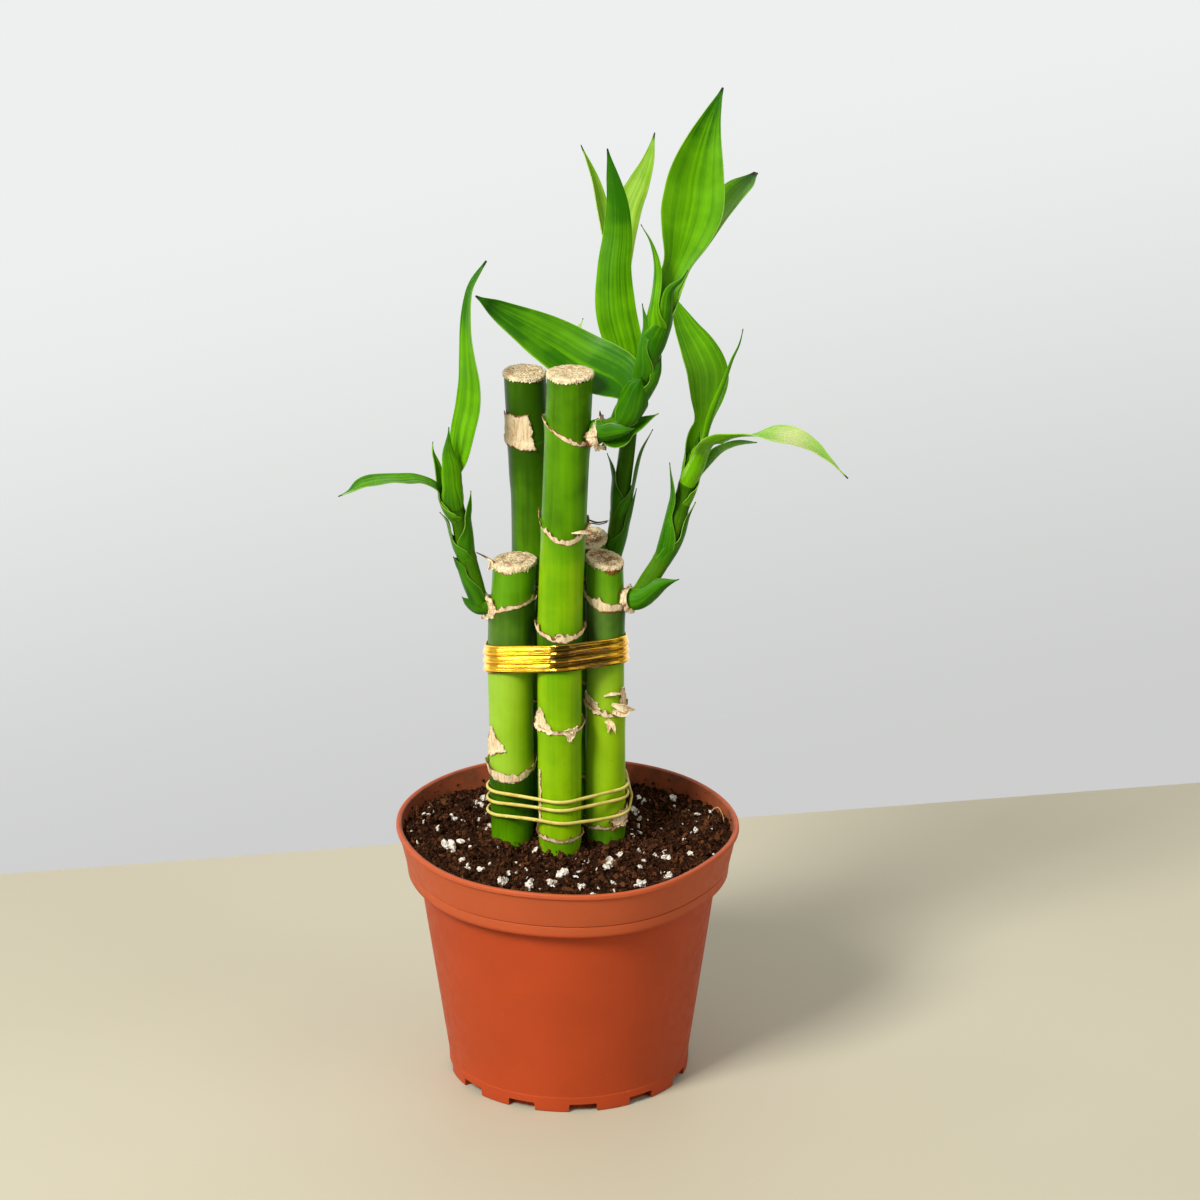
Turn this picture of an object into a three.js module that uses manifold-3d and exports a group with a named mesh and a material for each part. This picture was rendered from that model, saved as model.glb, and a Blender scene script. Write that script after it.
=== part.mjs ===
// Lucky bamboo: five cut stalks, tied in a bundle and planted in a small plastic nursery pot.
// Millimetres, +Z up. The origin is on the pot's axis, on the surface that the pot stands on.
// +X is the viewer's right and +Y points away from the viewer.

import * as THREE from "three";
import { mergeVertices } from "three/addons/utils/BufferGeometryUtils.js";
import Module from "manifold-3d";

const wasm = await Module();
wasm.setup();

// ---------------------------------------------------------------------------
// Driving dimensions
// ---------------------------------------------------------------------------

const GAP = 0.3; // clearance between neighbours that touch
const UP = new THREE.Vector3(0, 0, 1);

const POT = {
  height: 81,
  wall: 1.0,
  floor: 1.2,
  footRadius: 37.5,
  footHeight: 5,
  bodyRadius: 36.9, // at the floor; the body then widens by taper for each mm of height
  taper: 0.148,
  collarHeight: 16,
  collarRadius: 50,
  grooveRise: 4, // from the collar's foot up to its groove
  collarTop: 51.9, // under the rolled lip
  lipRadius: 53.8,
  lipHeight: 2,
  sides: 40,
};

// Soft out-of-round of the thin rim: waves around the pot, their size and where each one peaks.
// They grow with the height to the power RIM_GROWTH, and fade out inside ROUND_CORE.
const RIM_WAVES = [
  { count: 1, size: 1.5, peak: 115 },
  { count: 2, size: 0.7, peak: -58 },
  { count: 3, size: 0.65, peak: 24 },
  { count: 4, size: 0.25, peak: 25 },
  { count: 5, size: 0.2, peak: 2 },
  { count: 6, size: 0.3, peak: -7 },
];
const RIM_GROWTH = 1.5;
const ROUND_CORE = 30;
const WALL_RINGS = [25, 45]; // heights between foot and collar where the wall follows the waves

const NOTCH = { count: 12, first: 7, width: 9.5, topWidth: 8.5, height: 2.7, inner: 34.5 };

// Height of the soil at the wall and in the middle, with the slope between them.
const SOIL = {
  edge: 73,
  crown: 75.4,
  slopeWidth: 20,
  buriedEnd: 18, // where the stalks' lower ends lie in it
};

// Stalk axes run from the buried end to the cut top; radius is lower end, upper end.
const STALKS = {
  stalk_front_left: {
    path: [[-17.5, 0.5, SOIL.buriedEnd], [-17.5, 0.6, 90], [-17.8, 0.8, 135], [-17, 0.9, 156],
      [-16.4, 1, 168]],
    radius: [6.6, 6.9],
    nodes: [52, 100, 157],
  },
  stalk_front_tall: {
    path: [[-2.5, -7.5, SOIL.buriedEnd], [-2.6, -7.3, 140], [-1.2, -6.5, 185], [0.8, -5.5, 231.5]],
    radius: [6.4, 7.1],
    nodes: [48, 82, 118, 149, 181, 213],
  },
  stalk_front_right: {
    path: [[11.5, 0.8, SOIL.buriedEnd], [11.5, 1, 140], [11.3, 1, 168.5]],
    radius: [6.2, 5.8],
    nodes: [47, 83, 121, 155],
  },
  stalk_rear_right: {
    path: [[6, 13.5, SOIL.buriedEnd], [6, 13.5, 110], [5.8, 13.2, 172]],
    radius: [6.2, 6],
    nodes: [58, 94, 126, 161],
  },
  stalk_rear_tall: {
    path: [[-10.5, 13.8, SOIL.buriedEnd], [-10.6, 13.8, 165], [-11.6, 13.8, 195],
      [-13.2, 13.5, 225.5]],
    radius: [6.8, 6.4],
    nodes: [48, 84, 120, 158, 205],
  },
};
const STALK_SIDES = 14;
const NODE_SWELL = 0.4;
const NODE_REACH = 1.3; // half the height of a node's ridge
const HALVINGS = 24; // steps of the search for a height along a stalk

// Green shoots, each growing out of one stalk; radius is at the foot, at the growing tip.
const SHOOTS = {
  shoot_left: {
    from: "stalk_front_left",
    path: [[-22.5, 0, 154.5], [-27, 0, 156.5], [-29, -1, 163.5], [-31.5, -2, 175], [-33, -3, 184],
      [-35, -4, 192], [-36, -4, 198]],
    radius: [3, 2.4],
  },
  shoot_right: {
    from: "stalk_front_right",
    path: [[16, 1, 155.5], [21.5, 0, 158], [25, 0, 163.5], [30, 1, 172], [33.5, 2, 182.5],
      [36, 3, 192.5], [39, 4, 203], [40, 4, 210]],
    radius: [3, 2.3],
  },
  shoot_crown: {
    from: "stalk_front_tall",
    path: [[7, -6, 212.5], [10, -7, 214.5], [13, -8, 215.5], [16.5, -8, 218], [20, -8, 224],
      [23.5, -9, 234.5], [26.5, -9, 246], [28.5, -9, 254], [30, -9, 260]],
    radius: [3.4, 2.6],
  },
  shoot_rear: {
    from: "stalk_rear_right",
    path: [[10, 13, 160.5], [13, 14, 164], [14.5, 15, 170.5], [16.5, 15, 187], [18.5, 16, 203.5],
      [19.5, 17, 215.5], [19.5, 18, 225]],
    radius: [2.8, 2.3],
  },
  shoot_back: {
    from: "stalk_rear_tall",
    path: [[-10.5, 15, 208.5], [-7, 21, 206], [-3.5, 24, 209], [-2, 26, 217], [-1, 27, 226.5]],
    radius: [2.8, 2],
  },
};
const SHOOT_SIDES = 8;
const SHOOT_RINGS = 9;

// Outline of a leaf: its width at even steps from the sheath's mouth to the tip, 1 = widest.
const OUTLINE = {
  lance: [0.4, 0.46, 0.78, 1, 0.97, 0.8, 0.54, 0.26, 0.03],
  late: [0.42, 0.4, 0.5, 0.68, 0.9, 1, 0.86, 0.46, 0.03],
  low: [0.45, 0.84, 1, 1, 0.86, 0.75, 0.6, 0.34, 0.03],
  tongue: [0.46, 0.9, 1, 0.98, 0.9, 0.76, 0.56, 0.3, 0.03],
  bract: [1, 1, 0.96, 0.86, 0.7, 0.5, 0.28, 0.1, 0.02],
  rolled: [0.9, 1, 0.95, 0.8, 0.62, 0.46, 0.32, 0.18, 0.03],
};

// Leaves, bracts and husks. span: where the sheath hugs its shoot, as fractions of the shoot's
// length. side: the direction it faces away from the shoot, in degrees from +X towards +Y.
// path: the middle of the free blade, to its tip. curl: how far the blade's section bends, in
// degrees. twist: turn about its own length at even steps along the blade, in degrees.
const LEAVES = {
  left_scale: {
    on: "shoot_left", span: [0.05, 0.12], side: 200, width: 5, outline: "bract", curl: 100,
    path: [[-32.5, -1, 158]],
  },
  left_husk: {
    on: "shoot_left", span: [0.12, 0.36], side: 190, width: 8, outline: "bract", curl: 150,
    path: [[-35, -3, 172]],
  },
  left_bract_low: {
    on: "shoot_left", span: [0.42, 0.6], side: 185, width: 4.5, outline: "bract", curl: 60,
    path: [[-37, -4, 184], [-39, -4, 187]],
  },
  left_bract_high: {
    on: "shoot_left", span: [0.48, 0.7], side: -15, width: 5.5, outline: "bract", curl: 80,
    path: [[-29.5, -4, 188], [-29.5, -4, 194]],
  },
  left_leaf_reaching: {
    on: "shoot_left", span: [0.7, 0.88], side: 180, width: 8.5, outline: "late", curl: 30,
    twist: [0, 20, 40, 40],
    path: [[-40, -6, 196], [-45, -8, 199], [-50, -11, 200], [-55, -14, 201], [-61, -17, 201],
      [-65, -20, 200], [-69, -22, 199]],
  },
  left_leaf_side: {
    on: "shoot_left", span: [0.74, 0.93], side: 150, width: 4.6, outline: "bract", curl: 70,
    path: [[-40, -1, 201], [-41, 0, 205], [-41, 1, 208]],
  },
  left_leaf_young: {
    on: "shoot_left", span: [0.8, 0.97], side: -70, width: 7, outline: "bract", curl: 90,
    path: [[-35, -7.5, 203], [-36, -7, 208], [-36, -5, 215]],
  },
  left_leaf_twisted: {
    on: "shoot_left", span: [0.84, 1], side: 60, width: 8.5, outline: "low", curl: 30,
    twist: [0, 0, 0, -12, -28, -30, -25],
    path: [[-33, -3, 205], [-31.5, -2, 213], [-30, -1, 220], [-29.5, 0, 227], [-30, 2, 234],
      [-30.5, 4, 243], [-30, 6, 252], [-28.5, 8, 257], [-24.5, 10, 263]],
  },
  right_husk: {
    on: "shoot_right", span: [0.03, 0.14], side: -60, width: 7, outline: "bract", curl: 110,
    path: [[28.5, -3.5, 162.5], [34, -4, 165]],
  },
  right_bract_inner: {
    on: "shoot_right", span: [0.34, 0.58], side: 190, width: 6, outline: "bract", curl: 80,
    path: [[31.5, 0, 192], [31, -1, 202]],
  },
  right_bract_outer: {
    on: "shoot_right", span: [0.32, 0.47], side: -10, width: 5, outline: "bract", curl: 80,
    path: [[37, 2, 183], [39, 2, 188]],
  },
  right_leaf_small: {
    on: "shoot_right", span: [0.62, 0.78], side: 30, width: 4.2, outline: "low", curl: 40,
    twist: [0, 30],
    path: [[45, 9, 201], [49, 13, 202], [53, 16, 202], [58, 19, 201]],
  },
  right_leaf_arching: {
    on: "shoot_right", span: [0.72, 0.92], side: -40, width: 9, outline: "late", curl: 35,
    twist: [0, -40, -10, 30, 30, 0, 0],
    path: [[44, -3, 209], [48, -4, 211], [52, -5, 212], [57, -7, 213], [63, -9, 214],
      [69, -12, 214], [74, -14, 212], [77, -16, 210], [80, -18, 208], [84.5, -20, 204]],
  },
  right_leaf_broad: {
    on: "shoot_right", span: [0.76, 0.96], side: 110, width: 13.5, outline: "low", curl: 35,
    path: [[41, 8, 212], [42, 10, 219], [42, 13, 226], [39.5, 16, 232], [36, 19, 238],
      [33, 22, 244], [30.5, 25, 249]],
  },
  right_leaf_rolled: {
    on: "shoot_right", span: [0.86, 1], side: -10, width: 6.5, outline: "rolled", curl: 200,
    path: [[45, 3, 218], [48, 3, 227], [50, 2, 234], [52, 2, 239], [53, 2, 244]],
  },
  crown_husk_low: {
    on: "shoot_crown", span: [0.03, 0.12], side: -70, width: 9, outline: "bract", curl: 150,
    path: [[17, -13.5, 216.5], [20.5, -14, 218]],
  },
  crown_scale: {
    on: "shoot_crown", span: [0.1, 0.2], side: 0, width: 7, outline: "bract", curl: 110,
    path: [[24, -8, 218.5], [27.5, -8, 220.5]],
  },
  crown_leaf_wide: {
    on: "shoot_crown", span: [0.18, 0.32], side: 110, width: 20, outline: "tongue", curl: 40,
    path: [[15, 0, 228], [10, 4, 229.5], [4, 8, 231], [-3.5, 11, 235], [-11.5, 13, 239.5],
      [-19, 14, 244], [-28, 15, 250]],
  },
  crown_husk_front: {
    on: "shoot_crown", span: [0.2, 0.42], side: -110, width: 10, outline: "bract", curl: 190,
    path: [[22.3, -13.4, 234]],
  },
  crown_husk_right: {
    on: "shoot_crown", span: [0.32, 0.52], side: -10, width: 9, outline: "bract", curl: 160,
    path: [[28.2, -9, 239.5]],
  },
  crown_husk_left: {
    on: "shoot_crown", span: [0.48, 0.7], side: 190, width: 7, outline: "bract", curl: 110,
    path: [[23, -9, 249], [22.5, -9, 256]],
  },
  crown_leaf_rolled: {
    on: "shoot_crown", span: [0.62, 0.88], side: -60, width: 8, outline: "bract", curl: 170,
    path: [[31, -13, 261], [34, -13, 264.5], [36, -13, 268]],
  },
  crown_leaf_narrow: {
    on: "shoot_crown", span: [0.74, 0.94], side: 185, width: 5, outline: "bract", curl: 80,
    path: [[26.5, -9, 267], [25, -9, 275], [22, -9, 281]],
  },
  crown_leaf_behind: {
    on: "shoot_crown", span: [0.8, 0.95], side: 30, width: 10.5, outline: "late", curl: 40,
    twist: [0, 25, 35],
    path: [[35, 0, 263], [39.5, 5, 269], [45, 10, 277], [50.5, 14, 283], [54.5, 17, 286],
      [57, 19, 288]],
  },
  crown_leaf_top: {
    on: "shoot_crown", span: [0.86, 1], side: 90, width: 18.8, outline: "lance", curl: 35,
    path: [[33, -3, 267], [35.5, -1, 275], [37.5, 1, 284], [38.5, 3, 292], [40.5, 5, 301],
      [43, 7, 309], [46.5, 9, 318]],
  },
  rear_bract_low: {
    on: "shoot_rear", span: [0.1, 0.26], side: -20, width: 4.5, outline: "bract", curl: 80,
    path: [[19.5, 14, 180], [21, 13.5, 188]],
  },
  rear_bract_right: {
    on: "shoot_rear", span: [0.3, 0.46], side: -5, width: 5, outline: "bract", curl: 80,
    path: [[22.5, 16, 198.5], [26, 16, 206.5]],
  },
  rear_bract_left: {
    on: "shoot_rear", span: [0.32, 0.48], side: 190, width: 4.5, outline: "bract", curl: 80,
    path: [[13, 15, 195.5], [12, 15, 199]],
  },
  rear_leaf_upright: {
    on: "shoot_rear", span: [0.76, 0.9], side: -100, width: 12.5, outline: "low", curl: 35,
    path: [[17.5, 15.5, 231], [14.5, 17, 244], [14, 19, 257], [15, 21, 267], [15, 22, 277],
      [13.5, 23, 286], [12, 24, 294]],
  },
  rear_leaf_pale_left: {
    on: "shoot_rear", span: [0.78, 0.92], side: 160, width: 6, outline: "late", curl: 50,
    twist: [0, 20, 20],
    path: [[14.5, 22, 236], [13, 28, 251], [12, 33, 262], [10, 36, 272], [8, 38, 280],
      [4, 40, 290]],
  },
  rear_leaf_sliver: {
    on: "shoot_rear", span: [0.82, 0.96], side: 0, width: 5, outline: "bract", curl: 90,
    path: [[23.5, 18, 237], [23, 19, 247], [22.5, 20, 257], [21.5, 21, 267]],
  },
  rear_leaf_pale_right: {
    on: "shoot_rear", span: [0.86, 1], side: 70, width: 9.5, outline: "late", curl: 40,
    path: [[20.5, 24, 236], [19.5, 30, 250], [20, 35, 261], [21, 39, 270], [23, 41, 277],
      [25, 43, 284], [26.5, 46, 292]],
  },
  back_leaf_reaching: {
    on: "shoot_back", span: [0.5, 0.8], side: 110, width: 6, outline: "lance", curl: 60,
    path: [[-4, 37, 225], [-6.5, 46, 226], [-9.5, 54, 220]],
  },
  back_leaf_side: {
    on: "shoot_back", span: [0.6, 0.9], side: 200, width: 5, outline: "bract", curl: 90,
    path: [[-3, 26, 231], [-2, 27, 236]],
  },
  back_leaf_upright: {
    on: "shoot_back", span: [0.7, 1], side: 30, width: 7, outline: "bract", curl: 90,
    path: [[3, 31, 233], [5, 33, 237], [7, 35, 241]],
  },
};
const LEAF_THICKNESS = 0.7;
const TIP_THICKNESS = 0.3;
const LEAF_COLUMNS = 3;
const LEAF_ROWS = 9;
const HUSK_ROWS = 6;
const SLIVER = 0.02; // facets thinner than this are tidied away after a cut
const SHEATH_SEAT = 0.45; // clearance between a sheath and the shoot that it hugs
const SHEATH_WRAP = 110; // degrees of the shoot's girth that a sheath covers
const SHEATH_OPENING = [0.5, 1.3]; // where it opens into the blade, as shares of its length
const FOOT_SHARE = 0.3; // a leaf with a free blade keeps this much of its sheath, a husk all
const SHORT_BLADE = 2; // a path of up to this many points is a husk's or a bract's

// Gold ribbon: three flat turns as one band, with its twisted ends behind the bundle.
const TIE = {
  level: 138.2,
  leanX: 0.058,
  rise: 0.4, // how steeply the band climbs towards the front
  bend: 4,
  section: [[0, -5], [0.8, -4.8], [0.9, -1.9], [0.5, -1.6], [0.9, -1.3], [0.9, 1.5], [0.5, 1.8],
    [0.9, 2.1], [0.8, 4.8], [0, 5]],
  steps: 44,
  tail: [[0.5, 20.5, 140], [1.5, 22.5, 139.5], [3.5, 25, 137], [5, 26, 132], [4.5, 26.5, 127]],
  tailRadius: 1,
};

// Rubber band: three turns and one strand that crosses back over them at the right.
// Each row is the turn, the height and how far the strand is lifted off the stalks.
const BAND = {
  radius: 0.6,
  level: 91, // the height at which the bundle's outline is taken
  turns: 3,
  route: [[0, 86.5, 0.4], [0.06, 86.3, 0], [0.25, 88.2, 0], [0.5, 86, 0], [0.75, 88.5, 0],
    [1, 91.6, 0], [1.25, 92.4, 0], [1.5, 90.2, 0], [1.75, 92.4, 0], [2, 95, 0], [2.25, 95.2, 0],
    [2.5, 94.1, 0], [2.75, 96.8, 0], [2.9, 97.8, 0.4], [2.94, 96, 1.6], [2.98, 90, 1.6]],
  stepsPerTurn: 36,
  sides: 5,
};

// ---------------------------------------------------------------------------
// Materials
// ---------------------------------------------------------------------------

const paint = (color, roughness, metalness = 0) =>
  new THREE.MeshStandardMaterial({ color, roughness, metalness });

const PLASTIC = 0xc4562f;
const PEAT = 0x3a241a;
const STALK_GREEN = 0x5f9c14;
const SHOOT_GREEN = 0x3f7d1a;
const LEAF_GREEN = 0x3f8f14;
const YOUNG_GREEN = 0x8fc04a;
const GOLD = 0xd9a520;
const RUBBER = 0xd9c96a;
const YOUNG_LEAVES = ["rear_leaf_pale_left", "rear_leaf_pale_right"];

// ---------------------------------------------------------------------------
// Geometry helpers
// ---------------------------------------------------------------------------

const point = ([x, y, z]) => new THREE.Vector3(x, y, z);
const radians = THREE.MathUtils.degToRad;
const FULL_TURN = 360;
const smoothstep = THREE.MathUtils.smoothstep;
const mix = THREE.MathUtils.lerp;

/** A smooth curve through hand-placed points. */
function curveThrough(points) {
  return new THREE.CatmullRomCurve3(points, false, "catmullrom", 0.5);
}

/** Value at t (0 to 1) of a smooth line through evenly spaced values. */
function valueAlong(values, t) {
  const line = new THREE.SplineCurve(values.map((value, i) => new THREE.Vector2(i, value)));
  return line.getPoint(t).y;
}

/** Part of a vector square to an axis, at unit length. */
function squareTo(vector, axis) {
  return vector.clone().addScaledVector(axis, -vector.dot(axis)).normalize();
}

/** Moves each vertex of a geometry to place(x, y, z). */
function reshape(geometry, place) {
  const position = geometry.getAttribute("position");
  for (let i = 0; i < position.count; i++) {
    const moved = place(position.getX(i), position.getY(i), position.getZ(i));
    position.setXYZ(i, moved.x, moved.y, moved.z);
  }
  return geometry;
}

/** A closed geometry as a solid that can be joined and cut. */
function solidOf(geometry) {
  const bare = geometry.clone();
  bare.deleteAttribute("normal");
  bare.deleteAttribute("uv");
  const merged = mergeVertices(bare, 1e-4);
  return new wasm.Manifold(new wasm.Mesh({
    numProp: 3,
    vertProperties: new Float32Array(merged.getAttribute("position").array),
    triVerts: new Uint32Array(merged.getIndex().array),
  }));
}

/** The largest body of a solid, as a geometry. */
function geometryOf(solid) {
  const bodies = solid.decompose().sort((a, b) => b.volume() - a.volume());
  const mesh = bodies[0].asOriginal().simplify(SLIVER).getMesh();
  const geometry = new THREE.BufferGeometry();
  geometry.setAttribute("position", new THREE.BufferAttribute(mesh.vertProperties, 3));
  geometry.setIndex(new THREE.BufferAttribute(mesh.triVerts, 1));
  geometry.computeVertexNormals();
  return geometry;
}

/** Round tube through rings of { centre, axis, radius }, with flat ends. */
function tubeThrough(rings, sides) {
  const last = rings.length - 1;
  const start = squareTo(new THREE.Vector3(1, 0, 0), rings[0].axis);
  const across = [start];
  for (let i = 1; i <= last; i++) {
    across.push(squareTo(across[i - 1], rings[i].axis));
  }
  return reshape(new THREE.CylinderGeometry(1, 1, 1, sides, last), (x, y, z) => {
    const i = Math.round((y + 0.5) * last);
    const { centre, axis, radius } = rings[i];
    const beside = new THREE.Vector3().crossVectors(across[i], axis);
    return centre.clone()
      .addScaledVector(across[i], x * radius)
      .addScaledVector(beside, z * radius);
  });
}

/** Closed loop with one section all round: place(step, [out, up]) gives each point. */
function loop(section, steps, place) {
  const core = 2;
  const ring = new THREE.TorusGeometry(core, 1, section.length, steps);
  const turn = 2 * Math.PI;
  const index = (angle, count) => (Math.round(angle / turn * count) + count) % count;
  return reshape(ring, (x, y, z) => {
    const step = index(Math.atan2(y, x), steps);
    const corner = index(Math.atan2(z, Math.hypot(x, y) - core), section.length);
    return place(step, section[corner]);
  });
}

// ---------------------------------------------------------------------------
// Pot and soil
// ---------------------------------------------------------------------------

/** How far the pot's wall stands out of round at an angle and a height. */
function outOfRound(angle, z) {
  const share = Math.pow(THREE.MathUtils.clamp(z / POT.height, 0, 1), RIM_GROWTH);
  const sum = RIM_WAVES.reduce(
    (total, wave) => total + wave.size * Math.cos(wave.count * (angle - radians(wave.peak))), 0);
  return share * sum;
}

/** Turns a profile of [radius, height] about the pot's axis, with the rim's out-of-round. */
function turned(profile, sides) {
  const points = profile.map(([radius, z]) => new THREE.Vector2(radius, z));
  return reshape(new THREE.LatheGeometry(points, sides), (x, y, z) => {
    const radius = Math.hypot(x, z);
    const step = Math.round(Math.atan2(x, z) / (2 * Math.PI) * sides);
    const angle = 2 * Math.PI * step / sides;
    const share = Math.min(1, radius / ROUND_CORE);
    const grown = radius + share * outOfRound(angle, y);
    return new THREE.Vector3(grown * Math.cos(angle), grown * Math.sin(angle), y);
  });
}

const collarFoot = POT.height - POT.collarHeight;
const bodyRadiusAt = (z) => POT.bodyRadius + POT.taper * z;
const innerRadiusAt = (z) => bodyRadiusAt(z) - POT.wall;
const collarInner = POT.collarRadius - POT.wall;

function potProfile() {
  const lipFoot = POT.height - POT.lipHeight;
  const groove = collarFoot + POT.grooveRise;
  return [
    [0, 0],
    [POT.footRadius - 0.6, 0],
    [POT.footRadius, 0.6],
    [POT.footRadius + 0.2, POT.footHeight - 0.3],
    [bodyRadiusAt(POT.footHeight), POT.footHeight + 0.2],
    ...WALL_RINGS.map((z) => [bodyRadiusAt(z), z]),
    [bodyRadiusAt(collarFoot), collarFoot],
    [POT.collarRadius - 0.5, collarFoot],
    [POT.collarRadius, collarFoot + 0.5],
    [POT.collarRadius + 0.1, groove - 0.4],
    [POT.collarRadius - 0.1, groove],
    [POT.collarRadius + 0.2, groove + 0.4],
    [POT.collarTop, lipFoot - 0.3],
    [POT.lipRadius - 0.5, lipFoot],
    [POT.lipRadius, lipFoot + 0.9],
    [POT.lipRadius - 0.6, POT.height],
    [POT.lipRadius - 1.9, POT.height - 0.2],
    [POT.collarTop - POT.wall, lipFoot - 0.6],
    [collarInner, collarFoot + POT.wall + 0.4],
    [collarInner - 0.5, collarFoot + POT.wall],
    [innerRadiusAt(collarFoot), collarFoot + POT.wall],
    ...WALL_RINGS.toReversed().map((z) => [innerRadiusAt(z), z]),
    [innerRadiusAt(POT.floor), POT.floor],
    [0, POT.floor],
  ];
}

/** One drain notch through the wall and the floor's edge, at an angle from the front. */
function notchCutter(angle) {
  const depth = POT.footRadius + 2 - NOTCH.inner;
  const shape = new THREE.BoxGeometry(depth, 1, NOTCH.height * 2);
  reshape(shape, (x, y, z) => {
    const width = z > 0 ? NOTCH.topWidth : NOTCH.width;
    return new THREE.Vector3(x + NOTCH.inner + depth / 2, y * width, z);
  });
  return solidOf(shape.rotateZ(radians(angle - 90)));
}

function potSolid() {
  let pot = solidOf(turned(potProfile(), POT.sides));
  for (let i = 0; i < NOTCH.count; i++) {
    pot = pot.subtract(notchCutter(NOTCH.first + i * FULL_TURN / NOTCH.count));
  }
  return pot;
}

function soilSolid(stalks) {
  const bottom = POT.floor + GAP;
  const shoulder = collarFoot + POT.wall + GAP;
  const edgeRadius = collarInner + 0.1 * (SOIL.edge - shoulder) - GAP;
  const profile = [
    [0, bottom],
    [innerRadiusAt(bottom) - GAP, bottom],
    ...WALL_RINGS.map((z) => [innerRadiusAt(z) - GAP, z]),
    [innerRadiusAt(collarFoot) - GAP, shoulder],
    [collarInner - 0.5 - GAP, shoulder],
    [edgeRadius, SOIL.edge],
    [edgeRadius - 0.4 * SOIL.slopeWidth, mix(SOIL.edge, SOIL.crown, 0.6)],
    [edgeRadius - SOIL.slopeWidth, SOIL.crown],
    [0, SOIL.crown],
  ];
  let soil = solidOf(turned(profile, POT.sides));
  for (const stalk of stalks) {
    soil = soil.subtract(stalk);
  }
  return soil;
}

// ---------------------------------------------------------------------------
// Stalks and shoots
// ---------------------------------------------------------------------------

/** Heights of a stalk's rings: its two ends, and the foot, crest and head of each node's ridge. */
function stalkLevels(spec) {
  const bottom = spec.path[0][2];
  const top = spec.path[spec.path.length - 1][2];
  const levels = [bottom, top];
  for (const node of spec.nodes) {
    levels.push(node - NODE_REACH, node, node + NODE_REACH);
  }
  return levels.sort((a, b) => a - b);
}

/** Centre and radius of a stalk at a height. */
function stalkAt(spec, z) {
  const curve = curveThrough(spec.path.map(point));
  const [bottom, top] = [spec.path[0][2], spec.path[spec.path.length - 1][2]];
  let [low, high] = [0, 1];
  for (let i = 0; i < HALVINGS; i++) {
    const middle = (low + high) / 2;
    if (curve.getPoint(middle).z < z) {
      low = middle;
    } else {
      high = middle;
    }
  }
  const share = THREE.MathUtils.clamp((z - bottom) / (top - bottom), 0, 1);
  return { centre: curve.getPoint(low), radius: mix(spec.radius[0], spec.radius[1], share) };
}

/** A stalk's body, or the room it needs when grown by a clearance. */
function stalkSolid(spec, grow = 0) {
  const rings = stalkLevels(spec).map((z, i, all) => {
    const { centre, radius } = stalkAt(spec, z);
    const ridge = spec.nodes.includes(z) ? NODE_SWELL : 0;
    const end = (i === 0 ? -grow : 0) + (i === all.length - 1 ? grow : 0);
    centre.z = z + end;
    return { centre, axis: UP, radius: radius + ridge + grow };
  });
  return solidOf(tubeThrough(rings, STALK_SIDES));
}

/** Place, direction and radius at a fraction of a shoot's length. */
function shootAt(spec, share) {
  const curve = curveThrough(spec.path.map(point));
  return {
    centre: curve.getPointAt(share),
    axis: curve.getTangentAt(share),
    radius: mix(spec.radius[0], spec.radius[1], share),
  };
}

function shootSolid(spec, grow = 0) {
  const rings = [];
  for (let i = 0; i <= SHOOT_RINGS; i++) {
    const ring = shootAt(spec, i / SHOOT_RINGS);
    ring.radius += grow;
    if (i === SHOOT_RINGS) {
      ring.centre.addScaledVector(ring.axis, grow);
    }
    rings.push(ring);
  }
  return solidOf(tubeThrough(rings, SHOOT_SIDES));
}

// ---------------------------------------------------------------------------
// Leaves
// ---------------------------------------------------------------------------

/** The leaf's middle line: along its shoot first, then the free blade. */
function leafMiddle(spec, seat) {
  const isHusk = spec.path.length <= SHORT_BLADE;
  const [from, to] = spec.span;
  const start = isHusk ? from : mix(to, from, FOOT_SHARE);
  const away = new THREE.Vector3(Math.cos(radians(spec.side)), Math.sin(radians(spec.side)), 0);
  const sheath = [start, (start + to) / 2, to].map((share) => {
    const { centre, axis, radius } = shootAt(SHOOTS[spec.on], share);
    const out = squareTo(away, axis);
    return { spot: centre.addScaledVector(out, radius + seat), out, radius: radius + seat };
  });
  const spots = sheath.map((ring) => ring.spot);
  const sheathLength = spots[0].distanceTo(spots[1]) + spots[1].distanceTo(spots[2]);
  const curve = curveThrough([...spots, ...spec.path.map(point)]);
  return {
    curve,
    inward: sheath[0].out.clone().negate(),
    hug: sheath[0].radius,
    sheathShare: Math.min(0.9, sheathLength / curve.getLength()),
  };
}

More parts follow.
